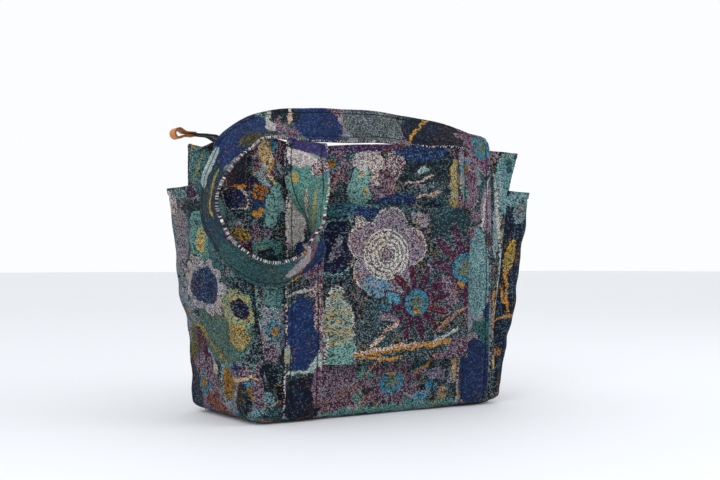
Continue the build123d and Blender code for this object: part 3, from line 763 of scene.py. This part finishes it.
handlePrint = [
    ("patch", 0, 42, 30, 44, 0, "navy", "royal"),
    ("patch", 4, 176, 20, 60, 0, "paleTeal", "slate"),
    ("patch", 20, 262, 12, 30, 0, "mauve", "burgundy"),
    ("patch", -8, 294, 10, 22, 10, "burgundy", "mauve"),
    ("stroke", 22, 306, 10, 236, 3, "cream", "mauve"),
    ("patch", -5, 410, 34, 60, 0, "deep", "navy"),
    ("bloom", 10, 346, 36, 36, 8, 0.5, 0.8, "burgundy", "mauve", "mauve", "turquoise", "olive", 0.40),
    ("stroke", -26, 464, 8, 437, 4, "mustard", "orange"),
    ("stroke", 8, 437, 24, 414, 4, "mustard", "orange"),
    ("patch", 0, 512, 36, 44, 0, "stone", "deep", None, 0.55),
    ("stroke", 25, 468, 25, 552, 5, "burgundy", "turquoise"),
    ("patch", 0, 598, 32, 38, 0, "royal", "navy"),
    ("patch", 16, 640, 16, 20, 0, "deep", "slate"),
    ("stroke", 28, 626, -2, 642, 4, "cream", "orange"),
    ("patch", 4, 722, 32, 50, 0, "royal", "navy"),
    ("stroke", 12, 650, -27, 670, 8, "burgundy", "mauve"),
    ("stroke", 24, 656, -12, 680, 4, "cream", "seafoam"),
    ("patch", -16, 714, 13, 18, 0, "slate", "olive"),
    ("patch", 0, 818, 32, 58, 0, "tealDeep", "navy"),
    ("patch", 18, 764, 9, 26, 0, "paleTeal", "cream"),
    ("stroke", -4, 768, -12, 832, 5, "mustard", "olive"),
    ("patch", 0, 916, 32, 58, 0, "teal", "slate", None, 0.5),
    ("patch", 16, 994, 14, 20, 0, "royal", "navy", "orange"),
    ("patch", -8, 974, 13, 27, 28, "mauve", "cream"),
    ("patch", 0, 1054, 32, 48, 0, "seafoam", "teal"),
    ("stroke", 22, 1016, 0, 1074, 4, "cream", "orange"),
    ("stroke", 8, 1012, -12, 1072, 4, "mustard", "seafoam"),
    ("patch", 14, 1088, 6, 6, 0, "mustard", "seafoam"),
    ("patch", -16, 1100, 11, 15, 0, "burgundy", "cream"),
    ("patch", 6, 1110, 20, 11, 0, "cream", "mauve"),
    ("patch", 0, 1131, 32, 10, 0, "purple", "royal"),
    ("patch", 14, 1236, 15, 34, 0, "cream", "stone"),
    ("patch", -6, 1276, 21, 17, 0, "navy", "royal"),
    ("stroke", 24, 1330, -18, 1320, 4, "cream", "stone"),
    ("patch", 4, 1376, 26, 44, 0, "royal", "navy"),
    ("patch", -20, 1344, 9, 32, 0, "burgundy", "cream"),
    ("patch", 0, 1456, 32, 28, 0, "deep", "navy"),
    ("patch", 24, 1401, 8, 11, 0, "paleTeal", "mustard"),
    ("stroke", 26, 1424, -20, 1419, 3, "paleTeal", "cream"),
    ("patch", -22, 1442, 10, 26, 0, "burgundy", "mauve"),
]
tapestries = {
    "rearWall": weaveTapestry("rearWallTapestry", (0, 0, 0), rearPrint, 0.45),
    "frontWall": weaveTapestry("frontWallTapestry", (310, 95, 0), [], 1.0),
    "gusset": weaveTapestry("gussetTapestry", (620, 40, 0), gussetPrint, 0.8),
    "leftPocket": weaveTapestry("leftPocketTapestry", (905, 210, 0), leftPocketPrint, 0.8),
    "rightPocket": weaveTapestry("rightPocketTapestry", (1210, 130, 0), rightPocketPrint, 0.9),
    "sleeve": weaveTapestry("sleeveTapestry", (0, 400, 0), sleevePrint, 0.0),
    "rearHandle": weaveTapestry("rearHandleTapestry", (1505, 0, 0), handlePrint, 0.5, True),
    "frontHandle": weaveTapestry("frontHandleTapestry", (1820, 60, 0), [], 1.0, True),
    "facing": weaveTapestry("facingTapestry", (2110, 20, 0), [], 0.8),
    "base": weaveTapestry("baseTapestry", (2400, 20, 0), [], 0.8),
}
print("tapestry ready")


def wallHeight(side, u, v):  # the rim's height, the way climbed along the cloth, and the height that gives
    r = bag["footRound"]
    rim = follow(bag["rearRim"] if side < 0 else bag["frontRim"], u * bag["rimHalf"])
    climbed = (v + 1) / 2 * (rim + r * (math.pi / 2 - 1))
    return rim, climbed, climb(climbed, r)


def wallPoint(side, u, v):  # rear and front walls
    c = bag["cornerRound"]
    rim, climbed, z = wallHeight(side, u, v)
    left, right = edgeAt(-1, z), edgeAt(1, z)
    arc = c * math.pi / 2
    total = right - left - 2 * c + 2 * arc
    along = (u + 1) / 2 * total
    if along < arc:
        a = along / c
        x, turned = left + c * (1 - math.cos(a)), c * (1 - math.sin(a))
    elif along > total - arc:
        a = (total - along) / c
        x, turned = right - c * (1 - math.cos(a)), c * (1 - math.sin(a))
    else:
        x, turned = left + c + along - arc, 0.0
    seam = min(along, total - along)
    dip = 1.6 * (1 - ease(0, 3, seam))
    pucker = 0.5 * math.sin(z * 0.9) * (1 - ease(2, 12, seam))
    out = rolledHem(rim - z, 9, 1.2, 0.9) * (1 - ease(20, 40, rim - z))
    depth = faceDepth(side, x, z) - turned - dip + pucker + out
    return x, side * depth, z


def wallMeasure(side, u, v):  # millimetres across and up the flat cloth
    rim, climbed, z = wallHeight(side, u, v)
    left, right = edgeAt(-1, z), edgeAt(1, z)
    grow = bag["cornerRound"] * (math.pi / 2 - 1)
    across = left - grow + (u + 1) / 2 * (right - left + 2 * grow)
    return across, climbed - bag["footRound"] * (math.pi / 2 - 1)


for side, name, node in ((-1, "rearWall", "rear_panel"), (1, "frontWall", "front_panel")):
    wall = layCloth(
        name, 162, 134,
        lambda u, v: wallPoint(side, u, v), bag["cloth"], (0, side, 0),
        lambda u, v: wallMeasure(side, u, v),
    )
    finishPiece(wall, [node], tapestries[name])

gusset = {
    "half": 94,
    "pleat": 20,
    "pleatFrom": 90,  # heights between which the pleat deepens
    "pleatTo": 335,
    "leftTop": [(-94, 345), (-50, 338), (0, 328), (30, 340), (94, 354)],
    "rightTop": [(-94, 346), (0, 331), (94, 343)],
}


def gussetPoint(side, u, v):
    top = follow(gusset["leftTop"] if side < 0 else gusset["rightTop"], u * gusset["half"])
    r = bag["footRound"]
    z = climb((v + 1) / 2 * (top + r * (math.pi / 2 - 1)), r)
    x = edgeAt(side, z)
    near = faceDepth(-1, x, z) - bag["cornerRound"]
    far = faceDepth(1, x, z) - bag["cornerRound"]
    y = -near + (u + 1) / 2 * (near + far)
    inward = gusset["pleat"] * ease(gusset["pleatFrom"], gusset["pleatTo"], z) * (1 - abs(u)) ** 0.9
    inward += 1.6 * (1 - ease(0, 0.03, 1 - abs(u)))
    hem = rolledHem(top - z, 9, 1.0, 0.8) * (1 - ease(20, 40, top - z))
    wave = 1.4 * ripple(y, z, 60, 31 + side) - hem
    return x - side * (inward + wave), y, z


for side, name, node in ((-1, "leftGusset", "left_end_panel"), (1, "rightGusset", "right_end_panel")):
    end = layCloth(
        name, 72, 134,
        lambda u, v: gussetPoint(side, u, v), bag["cloth"], (side, 0, 0),
        lambda u, v: (u * 85, (v + 1) * 170),
    )
    finishPiece(end, [node], tapestries["gusset"])


base = {
    "left": -192,
    "right": 168,
    "corner": 10.0,
    "cloth": 3.2,
}


def basePoint(u, v):
    inset = bag["footRound"] - 1.5
    left, right = base["left"] + inset, base["right"] - inset
    half = bag["footDepth"] - inset
    corner = base["corner"]
    x = (left + right) / 2 + u * (right - left) / 2
    y = v * half
    past = max(abs(u) * (right - left) / 2 - (right - left) / 2 + corner, 0)
    y *= 1 - (corner - math.sqrt(max(corner * corner - past * past, 0))) / half
    edge = min(1 - abs(u), 1 - abs(v))
    return x, y, 0.3 + 0.5 * (1 - ease(0, 0.05, edge)) + 0.4 * abs(ripple(x, y, 80, 3)) * ease(0, 0.1, edge)


baseCloth = layCloth(
    "baseCloth", 90, 44, basePoint, base["cloth"], (0, 0, -1), lambda u, v: (u * 180, v * 80 - 90)
)
finishPiece(baseCloth, ["base_panel"], tapestries["base"])


# the lining: an inner bag that follows the body a few millimetres inside it
liningBag = {
    "floor": 6,
    "height": 322,
    "fromEnds": 9,
    "fromWalls": 8,
    "cloth": 1.2,
}
deselectAll()
bpy.ops.mesh.primitive_cube_add(size=2)
lining = bpy.context.active_object
lining.name = "liningBag"
bpy.ops.object.mode_set(mode="EDIT")
bpy.ops.mesh.select_all(action="SELECT")
bpy.ops.mesh.subdivide(number_cuts=25)
bpy.ops.mesh.select_all(action="DESELECT")
bpy.ops.object.mode_set(mode="OBJECT")
for face in lining.data.polygons:
    face.select = face.center.z > 0.999
bpy.ops.object.mode_set(mode="EDIT")
bpy.ops.mesh.delete(type="FACE")
bpy.ops.object.mode_set(mode="OBJECT")
for vertex in lining.data.vertices:
    u, w, v = vertex.co
    z = liningBag["floor"] + (v + 1) / 2 * liningBag["height"]
    gap = liningBag["fromWalls"]
    left, right = edgeAt(-1, z + gap), edgeAt(1, z + gap)
    pleat = gusset["pleat"] * ease(gusset["pleatFrom"], gusset["pleatTo"], z) * (1 - abs(w)) ** 0.9
    inset = liningBag["fromEnds"] + pleat + 1.5 * ripple(w * 90, z, 70, 3)
    x = (left + right) / 2 + u * ((right - left) / 2 - inset)
    depth = min(faceDepth(-1, x, z + gap), faceDepth(1, x, z + gap)) - gap
    vertex.co = (x * mm, w * depth * mm, z * mm)
solid = lining.modifiers.new("clothThickness", "SOLIDIFY")
solid.thickness = liningBag["cloth"] * mm
applyModifiers(lining)
finishPiece(lining, ["lining"], liningCloth)
print("body ready")


pocket = {
    "mouth": 292,
    "foot": 3,
    "footRound": 10,
    "cornerRound": 20,
    "lap": 9,  # how far the seams run in behind the walls' rounded corners
    "leftReach": [(0, 8), (10, 10), (40, 15), (148, 20), (213, 24), (292, 33)],
    "rightReach": [(0, 12), (25, 20), (70, 28), (110, 37), (150, 41), (200, 40), (299, 42)],
    "cloth": 2.6,
}


def pocketPlan(side, u, z):  # place round the pocket's outline, its outward direction and length
    edge = edgeAt(side, z)
    swelling = follow(pocket["leftReach"] if side < 0 else pocket["rightReach"], z)
    near = faceDepth(-1, edge * 0.97, z) - 1.0
    far = faceDepth(1, edge * 0.97, z) - 1.0
    c = min(pocket["cornerRound"], swelling * 0.9)
    arc = c * math.pi / 2
    lap = pocket["lap"]
    straight = swelling - c + lap
    across = near + far - 2 * c
    total = 2 * straight + 2 * arc + across
    along = (u + 1) / 2 * total
    out = edge + side * swelling
    if along < straight:
        return (edge + side * (along - lap), -near), (0, -1), along, total
    if along < straight + arc:
        a = (along - straight) / c
        spot = (edge + side * (straight - lap + c * math.sin(a)), -near + c * (1 - math.cos(a)))
        return spot, (side * math.sin(a), -math.cos(a)), along, total
    if along < straight + arc + across:
        return (out, -near + c + along - straight - arc), (side, 0), along, total
    back = total - along
    if back > straight:
        a = (back - straight) / c
        spot = (edge + side * (straight - lap + c * math.sin(a)), far - c * (1 - math.cos(a)))
        return spot, (side * math.sin(a), math.cos(a)), along, total
    return (edge + side * (back - lap), far), (0, 1), along, total


def pocketMouth(side, u):
    if side > 0:
        return pocket["mouth"] + 6 + 2 * ripple(u * 60, 4, 30, 9)
    dip = 8 * math.exp(-(((u + 0.66) / 0.16) ** 2))
    return pocket["mouth"] - dip + 7 * ease(-0.8, -1, u) + ripple(u * 60, 4, 30, 7)


def pocketPoint(side, u, v):
    mouth = pocketMouth(side, u)
    r = pocket["footRound"]
    z = pocket["foot"] + climb((v + 1) / 2 * (mouth - pocket["foot"] + r * 0.57), r)
    tuck = r - math.sqrt(max(r * r - (r - (z - pocket["foot"])) ** 2, 0)) if z - pocket["foot"] < r else 0
    (x, y), (nx, ny), along, total = pocketPlan(side, u, z)
    sewn = min(ease(0, 14, along - pocket["lap"]), ease(0, 14, total - along - pocket["lap"]))
    folds = 2.6 * ripple(along * 1.6, z * 0.5, 55, side + 12) + 1.6 * ripple(along, z, 28, side + 14)
    crush = 2.4 * ripple(along, z * 1.5, 34, side + 16) * (1 - ease(60, 150, z))
    out = (folds + crush) * sewn * ease(0, 20, z) * (1 - 0.5 * ease(240, 290, z)) - tuck
    out += rolledHem(mouth - z, 10, 1.2, 0.9) * (1 - ease(20, 40, mouth - z))
    return x + nx * out, y + ny * out, z


def pocketMeasure(side, u, v):
    mouth = pocketMouth(side, u)
    z = pocket["foot"] + (v + 1) / 2 * (mouth - pocket["foot"])
    *_, along, total = pocketPlan(side, u, z)
    return along - (total - 240) / 2, z


for side, name, node in ((-1, "leftPocket", "left_end_pocket"), (1, "rightPocket", "right_end_pocket")):
    outerPocket = layCloth(
        name, 100, 116,
        lambda u, v: pocketPoint(side, u, v), pocket["cloth"], (side, 0, 0),
        lambda u, v: pocketMeasure(side, u, v),
    )
    finishPiece(outerPocket, [node], tapestries[name])
print("pockets ready")


sleeve = {
    "half": 106.8,
    "foot": 69,
    "top": 268.5,
    "left": -108.5,
    "right": 116.5,
    "proud": 21.5,  # how far it stands out, over the wall's own depth
    "leftRamp": 26,
    "rightRamp": 5,
    "cloth": 2.8,
}


def sleevePoint(u, v):
    z = sleeve["foot"] + (v + 1) / 2 * (sleeve["top"] - sleeve["foot"])
    left, right = sleeve["left"] + 3.5 * v, sleeve["right"] + 1.5 * v
    x = (left + right) / 2 + u * (right - left) / 2
    lift = ease(2, 2 + sleeve["leftRamp"], x - left) * ease(0, sleeve["rightRamp"], right - x)
    top = sleeve["top"] - z
    foot = z - sleeve["foot"]
    flat = faceDepth(-1, x, z) + 3.4 + 3.4 * ease(103, 108, x)
    folds = 0.9 * ripple(x, z, 80, 41) + 0.35 * ripple(x, z, 22, 43)
    stand = bag["footDepth"] + 8 * z / 340 + sleeve["proud"] + folds
    hem = sum(rolledHem(edge, 9, 0.9, 0.9) * (1 - ease(16, 30, edge)) for edge in (top, foot))
    return x, -(flat * (1 - lift) + stand * lift + hem), z


trolleySleeve = layCloth(
    "trolleySleeve", 126, 96, sleevePoint, sleeve["cloth"], (0, -1, 0),
    lambda u, v: (u * sleeve["half"], sleeve["foot"] + (v + 1) / 2 * (sleeve["top"] - sleeve["foot"])),
)
finishPiece(trolleySleeve, ["trolley_sleeve"], tapestries["sleeve"])
print("sleeve ready")


strap = {
    "width": 54,
    "thickness": 4,
    "centre": 134,
    "foot": 6,
    "stitchFromEdge": 8,
    "step": 3.0,
    "out": 96.2,  # from the bag's middle to the sewn strap at the rim
    "proud": 3.1,  # from the wall to the middle of the sewn strap
    "sewn": 12,  # spacing of the stations up the face
    "sewnDown": 27,  # gaps between stations on the way down
}

# the free part of the rear handle: which edge is placed (1 inner, -1 outer), X as a share of the strap
# centre, distance out from the sewn strap, height over the rim, and the direction to the outer edge
rearArc = [
    (1, 0.80, 4, 8, (0.96, 0.15, 0.20)),
    (1, 0.76, 2, 8, (0.78, 0.45, 0.42)),
    (1, 0.66, 0, 7, (0.40, 0.64, 0.655)),
    (1, 0.37, -2, 5, (0.03, 0.60, 0.80)),
    (1, -0.13, -9, 6.5, (0, 0.55, 0.835)),
    (1, -0.56, -10, 3.5, (-0.02, 0.52, 0.855)),
    (1, -0.88, -6, 1, (-0.10, 0.55, 0.83)),
    (1, -1.12, 0, 2, (-0.30, 0.64, 0.69)),
    (1, -1.34, 6, 1, (-0.21, 0.80, 0.56)),
    (1, -1.52, 11, -6, (-0.17, 0.88, 0.45)),
    (1, -1.70, 15, -26, (-0.10, 0.86, 0.50)),
    (1, -1.80, 16, -40, (-0.04, 0.95, 0.29)),
    (1, -1.905, 20, -58, (0.015, 0.985, 0.17)),
    (1, -1.955, 22, -76, (0.08, 0.99, 0.07)),
    (1, -1.955, 24, -94, (0.07, 0.997, 0)),
    (1, -1.92, 30, -111, (0, 0.985, 0.10)),
    (1, -1.855, 38, -128, (0.07, 0.99, -0.13)),
    (1, -1.75, 48, -140, (0.03, 0.955, -0.29)),
    (1, -1.58, 52, -148, (0.11, 0.88, -0.46)),
    (1, -1.38, 52, -145, (0.16, 0.80, -0.58)),
    (1, -1.175, 50, -131, (0.26, 0.76, -0.60)),
    (-1, -0.91, 18, -147, (0.66, 0.50, -0.56)),
    (-1, -0.925, 14, -130, (0.54, 0.73, -0.42)),
    (-1, -0.975, 9, -111, (0.30, 0.93, -0.22)),
    (-1, -1.055, 8, -91, (0.02, 0.99, -0.10)),
    (-1, -1.17, 8, -70, (-0.45, 0.89, 0)),
    (-1, -1.25, 10, -48, (-0.78, 0.62, 0)),
    (-1, -1.27, 12, -31, (-0.93, 0.36, 0)),
    (0, -1.045, 13, -15, (-1, 0.06, 0)),
    (0, -1.01, 9, -7, (-1, 0, 0)),
    (0, -1, 6.5, -2.5, (-1, 0, 0)),
    (0, -1, 2.5, -2.5, (-1, 0, 0)),
]
frontHalf = [
    (0, 1, 2.5, 4.5, (1, 0, 0)),
    (0, 1, 6.5, 4.5, (1, 0, 0)),
    (0, 1, 9, 0, (1, 0, 0)),
    (0, 1.01, 12, -9, (1, 0.06, 0)),
    (-1, 1.20, 7, -28, (0.92, 0.39, 0)),
    (-1, 1.15, 6, -55, (0.72, 0.70, 0)),
    (-1, 1.06, 6, -86, (0.45, 0.88, -0.05)),
    (-1, 0.96, 7, -122, (0.30, 0.92, -0.15)),
    (-1, 0.84, 9, -158, (0.22, 0.90, -0.30)),
    (-1, 0.64, 10, -188, (0.15, 0.88, -0.42)),
    (-1, 0.36, 11, -209, (0.06, 0.85, -0.50)),
    (-1, 0, 11, -215, (0, 0.85, -0.52)),
]
frontArc = frontHalf + [
    (still, -along, out, up, (-u, v, w)) for still, along, out, up, (u, v, w) in frontHalf[-2::-1]
]


def strapLine(arc, side):  # middles and widths: up the face, along the free arc, down the face
    stations = []

    def sewn(heights, x):
        for z in heights:
            spot = Vector((x, side * (faceDepth(side, x, z) + strap["proud"]), z))
            stations.append((spot, Vector((math.copysign(1, x), 0, 0))))

    foot, gap = strap["foot"], strap["sewn"]
    sewn(range(foot, bag["rim"] - 1, gap), strap["centre"])
    for still, along, out, up, (u, v, w) in arc:
        width = Vector((u, -side * v, w)).normalized()
        edge = Vector((along * strap["centre"], side * (strap["out"] + out), bag["rim"] + up))
        stations.append((edge + width * (still * strap["width"] / 2), width))
    sewn(range(foot + gap * strap["sewnDown"], foot - 1, -gap), -strap["centre"])
    return stations


def resample(stations, step):  # points every few millimetres on a smooth line through the stations
    spots = [s[0] for s in stations]
    widths = [s[1] for s in stations]
    knots = [0.0]
    for a, b in zip(spots, spots[1:]):
        knots.append(knots[-1] + max((b - a).length, 0.5))
    last = len(spots) - 1

    def tangent(values, i):
        a, b = max(i - 1, 0), min(i + 1, last)
        return (values[b] - values[a]) / (knots[b] - knots[a])

    line = []
    for i in range(last):
        length = knots[i + 1] - knots[i]
        count = max(1, round(length / step))
        for k in range(count):
            a, b, c, d = curveShares(k / count)
            both = []
            for values in (spots, widths):
                both.append(
                    values[i] * a + tangent(values, i) * (b * length)
                    + values[i + 1] * c + tangent(values, i + 1) * (d * length)
                )
            line.append(both)
    line.append([spots[last], widths[last]])
    return line


def makeStrap(name, arc, side):
    line = resample(strapLine(arc, side), strap["step"])
    half = strap["width"] / 2
    columns = 22
    profile = []
    for k in range(columns + 1):  # across one face, closer at the edges
        profile.append(half * math.sin((k / columns - 0.5) * math.pi * 0.86) / math.sin(0.43 * math.pi))
    ring = [(x, 1) for x in profile] + [(x, -1) for x in reversed(profile)]
    verts, uvs = [], []
    travelled = 0.0
    for i, (middle, width) in enumerate(line):
        ahead = line[min(i + 1, len(line) - 1)][0] - line[max(i - 1, 0)][0]
        run = ahead.normalized()
        across = (width - run * width.dot(run)).normalized()
        normal = run.cross(across)
        if i:
            travelled += (middle - line[i - 1][0]).length
        for x, face in ring:
            fromEdge = half - abs(x)
            thick = strap["thickness"] / 2 * math.sqrt(max(1 - max(1 - fromEdge / 2.6, 0) ** 2, 0.0)) + 0.05
            thick += 0.35 * (1 - ease(2, 7, fromEdge)) * min(fromEdge / 2, 1)
            thick -= 0.9 * math.exp(-(((fromEdge - strap["stitchFromEdge"]) / 1.2) ** 2))
            thick += 0.25 * math.sin(travelled * 0.85 + x * 0.1) * math.exp(-(((fromEdge - 6) / 4) ** 2))
            bend = 0.8 * ripple(x * 0.6, travelled, 38, side + 50)
            verts.append(middle + across * x + normal * (face * thick + bend))
            uvs.append((x, travelled))
    count = len(ring)
    faces = []
    for i in range(len(line) - 1):
        for k in range(count):
            a, b = i * count + k, i * count + (k + 1) % count
            faces.append((a, b, b + count, a + count))
    faces.append(tuple(range(count - 1, -1, -1)))
    faces.append(tuple(range((len(line) - 1) * count, len(line) * count)))
    mesh = bpy.data.meshes.new(name)
    mesh.from_pydata([v * mm for v in verts], [], faces)
    piece = bpy.data.objects.new(name, mesh)
    bpy.context.scene.collection.objects.link(piece)
    layer = mesh.uv_layers.new(name="UVMap").data
    for loop in mesh.loops:
        across, up = uvs[loop.vertex_index]
        layer[loop.index].uv = (across * mm, up * mm)
    mesh.update()
    pick(piece)
    bpy.ops.object.mode_set(mode="EDIT")
    bpy.ops.mesh.select_all(action="SELECT")
    bpy.ops.mesh.normals_make_consistent(inside=False)
    bpy.ops.object.mode_set(mode="OBJECT")
    return piece, travelled


for name, node, arc, side, wallName in (
    ("rearHandle", "rear_handle", rearArc, -1, "rearWall"),
    ("frontHandle", "front_handle", frontArc, 1, "frontWall"),
):
    handle, length = makeStrap(name, arc, side)
    finishPiece(handle, [node], tapestries[name])
    print(name, "strap length", round(length), "mm")


zipLine = {
    "height": 348,
    "right": 208,
    "coilRight": 204,
    "tailStart": -198,
    "tailBend": -218,
    "tailEnd": -244,
    "tailHeight": 355,
    "tapeFrom": 3.2,
    "tapeWidth": 13,
    "facingFrom": 89.4,  # the facing's edge by the rim
    "facingTo": 16.4,  # and its edge by the tape
    "facingHalf": 206,
    "facingHeight": 340,
}


def zipHeight(x):
    a, b = zipLine["tailBend"], zipLine["tailStart"]
    return zipLine["height"] + (zipLine["tailHeight"] - zipLine["height"]) * (1 - ease(a, b, x))


for side, name, node, wallName in (
    (-1, "rearZipFacing", "rear_zip_facing", "rearWall"),
    (1, "frontZipFacing", "front_zip_facing", "frontWall"),
):
    def facingPoint(u, v):
        x = u * zipLine["facingHalf"]
        share = (v + 1) / 2
        y = zipLine["facingFrom"] + (zipLine["facingTo"] - zipLine["facingFrom"]) * share
        slack = 1.3 * ripple(x, y, 60, 60 + side) * math.sin(math.pi * share)
        z = zipLine["facingHeight"] + 8 * share + slack
        return x, side * y, z

    facing = layCloth(
        name, 160, 28, facingPoint, 2.4, (0, 0, 1),
        lambda u, v: (u * zipLine["facingHalf"], (v + 1) * 36), 0.0,
    )
    finishPiece(facing, [node], tapestries["facing"])

for side, name, node in ((-1, "rearZipTape", "rear_zip_tape"), (1, "frontZipTape", "front_zip_tape")):
    def tapePoint(u, v):
        x = zipLine["tailEnd"] + (v + 1) / 2 * (zipLine["right"] - zipLine["tailEnd"])
        y = zipLine["tapeFrom"] + (u + 1) / 2 * zipLine["tapeWidth"]
        return x, side * y, zipHeight(x) + 0.15 * math.sin(x * 0.35) * (u + 1) / 2

    tape = layCloth(
        name, 6, 220, tapePoint, 0.7, (0, 0, 1),
        lambda u, v: (u * 6.5, (v + 1) * 226), 0.0,
    )
    finishPiece(tape, [node], zipTape)
print("zip cloth ready")


# each coil: one turn of filament, modelled once and repeated along the tape
coil = {
    "pitch": 1.5,
    "middle": 1.9,  # from the zip's middle to the coil's own
    "turn": 0.94,
    "filament": 0.38,
    "lean": 0.45,
    "squash": 0.9,
    "left": -238,
}
for side, name, node in ((-1, "rearZipCoil", "rear_zip_coil"), (1, "frontZipCoil", "front_zip_coil")):
    deselectAll()
    bpy.ops.mesh.primitive_torus_add(
        major_radius=coil["turn"] * mm, minor_radius=coil["filament"] * mm,
        major_segments=10, minor_segments=4, rotation=(0, math.radians(90), 0),
        location=(coil["left"] * mm, side * coil["middle"] * mm, zipLine["height"] * mm),
    )
    turnOfCoil = bpy.context.active_object
    turnOfCoil.name = name
    bpy.ops.object.transform_apply(location=True, rotation=True, scale=True)
    for vertex in turnOfCoil.data.vertices:  # leaning, as a wound filament does
        over = vertex.co.z - zipLine["height"] * mm
        vertex.co.x += coil["lean"] * over
        vertex.co.z = zipLine["height"] * mm + coil["squash"] * over
    repeat = turnOfCoil.modifiers.new("turns", "ARRAY")
    repeat.use_relative_offset = False
    repeat.use_constant_offset = True
    repeat.constant_offset_displace = (coil["pitch"] * mm, 0, 0)
    repeat.count = int((zipLine["coilRight"] - coil["left"]) / coil["pitch"])
    applyModifiers(turnOfCoil)
    for vertex in turnOfCoil.data.vertices:
        vertex.co.z += (zipHeight(vertex.co.x / mm) - zipLine["height"]) * mm
    finishPiece(turnOfCoil, [node], zipCoil)
print("zip coils ready")

# leather tab: a strip folded into a loop, its two ends stitched over the end of the tape
tab = {
    "loopAt": -260.4,
    "loop": 6.0,
    "neck": 23.5,  # from the loop's middle to the strip's ends
    "grip": 1.75,
    "width": 18,
    "leather": 2.0,
    "stitchRows": (-243.5, -239.5),
    "stitchFrom": -6.5,
    "stitchGap": 2.6,
    "stitchCount": 6,
}
deselectAll()
bpy.ops.mesh.primitive_circle_add(
    vertices=56, radius=tab["loop"] * mm, rotation=(math.radians(90), 0, 0),
    location=(tab["loopAt"] * mm, -tab["width"] / 2 * mm, zipLine["tailHeight"] * mm),
)
zipTab = bpy.context.active_object
zipTab.name = "zipTab"
bpy.ops.object.transform_apply(location=True, rotation=True, scale=True)
tip = max(zipTab.data.vertices, key=lambda vertex: vertex.co.x).index
bpy.ops.object.mode_set(mode="EDIT")
bpy.ops.mesh.select_all(action="DESELECT")
bpy.ops.object.mode_set(mode="OBJECT")
zipTab.data.vertices[tip].select = True
bpy.ops.object.mode_set(mode="EDIT")
bpy.ops.mesh.delete(type="VERT")
bpy.ops.object.mode_set(mode="OBJECT")
for vertex in zipTab.data.vertices:  # draw the circle out into a loop with a flat neck
    out = (vertex.co.x / mm - tab["loopAt"]) / tab["loop"]
    rise = vertex.co.z / mm - zipLine["tailHeight"]
    if out > 0:
        drawn = 1 - math.sqrt(max(0, 1 - out * out))
        side = 1 if rise > 0 else -1
        vertex.co.x = (tab["loopAt"] + tab["neck"] * (0.30 * out + 0.70 * drawn)) * mm
        closed = ease(0.05, 0.42, 0.30 * out + 0.70 * drawn)
        rise = side * (tab["grip"] + (tab["loop"] * (1 - 0.35 * out) - tab["grip"]) * (1 - closed))
    vertex.co.z = (zipLine["tailHeight"] + rise) * mm
bpy.ops.object.mode_set(mode="EDIT")
bpy.ops.mesh.select_all(action="SELECT")
bpy.ops.mesh.extrude_region_move(TRANSFORM_OT_translate={"value": (0, tab["width"] * mm, 0)})
bpy.ops.mesh.select_all(action="SELECT")
bpy.ops.mesh.subdivide(number_cuts=2)
bpy.ops.mesh.normals_make_consistent(inside=False)
bpy.ops.object.mode_set(mode="OBJECT")
wall = zipTab.modifiers.new("leather", "SOLIDIFY")
wall.thickness = tab["leather"] * mm
wall.offset = 0
edges = zipTab.modifiers.new("edges", "BEVEL")
edges.width = 0.45 * mm
edges.segments = 2
edges.limit_method = "ANGLE"
edges.angle_limit = math.radians(50)
applyModifiers(zipTab)
bpy.ops.object.mode_set(mode="EDIT")
bpy.ops.mesh.select_all(action="SELECT")
bpy.ops.mesh.normals_make_consistent(inside=False)
bpy.ops.object.mode_set(mode="OBJECT")
finishPiece(zipTab, ["zip_end_tab"], leather, "bag", 40)

deselectAll()
bpy.ops.mesh.primitive_uv_sphere_add(segments=8, ring_count=6, radius=1 * mm, location=(0, 0, 0))
stitch = bpy.context.active_object
stitch.scale = (0.36, 0.95, 0.26)
bpy.ops.object.transform_apply(location=True, rotation=True, scale=True)
stitches = []
for row in tab["stitchRows"]:
    for step in range(tab["stitchCount"]):
        for face in (-1, 1):
            one = stitch if not stitches else bpy.data.objects.new("stitch", stitch.data.copy())
            if one is not stitch:
                bpy.context.collection.objects.link(one)
            height = zipLine["tailHeight"] + face * (tab["grip"] + tab["leather"] / 2)
            stitches.append((one, row, tab["stitchFrom"] + tab["stitchGap"] * step, height))
for one, x, y, z in stitches:
    one.data.transform(Matrix.Translation((x * mm, y * mm, z * mm)))
deselectAll()
for one, *_ in stitches:
    one.select_set(True)
bpy.context.view_layer.objects.active = stitch
bpy.ops.object.join()
stitch.name = "tabStitches"
finishPiece(stitch, [], sewingThread)
print("tab ready")
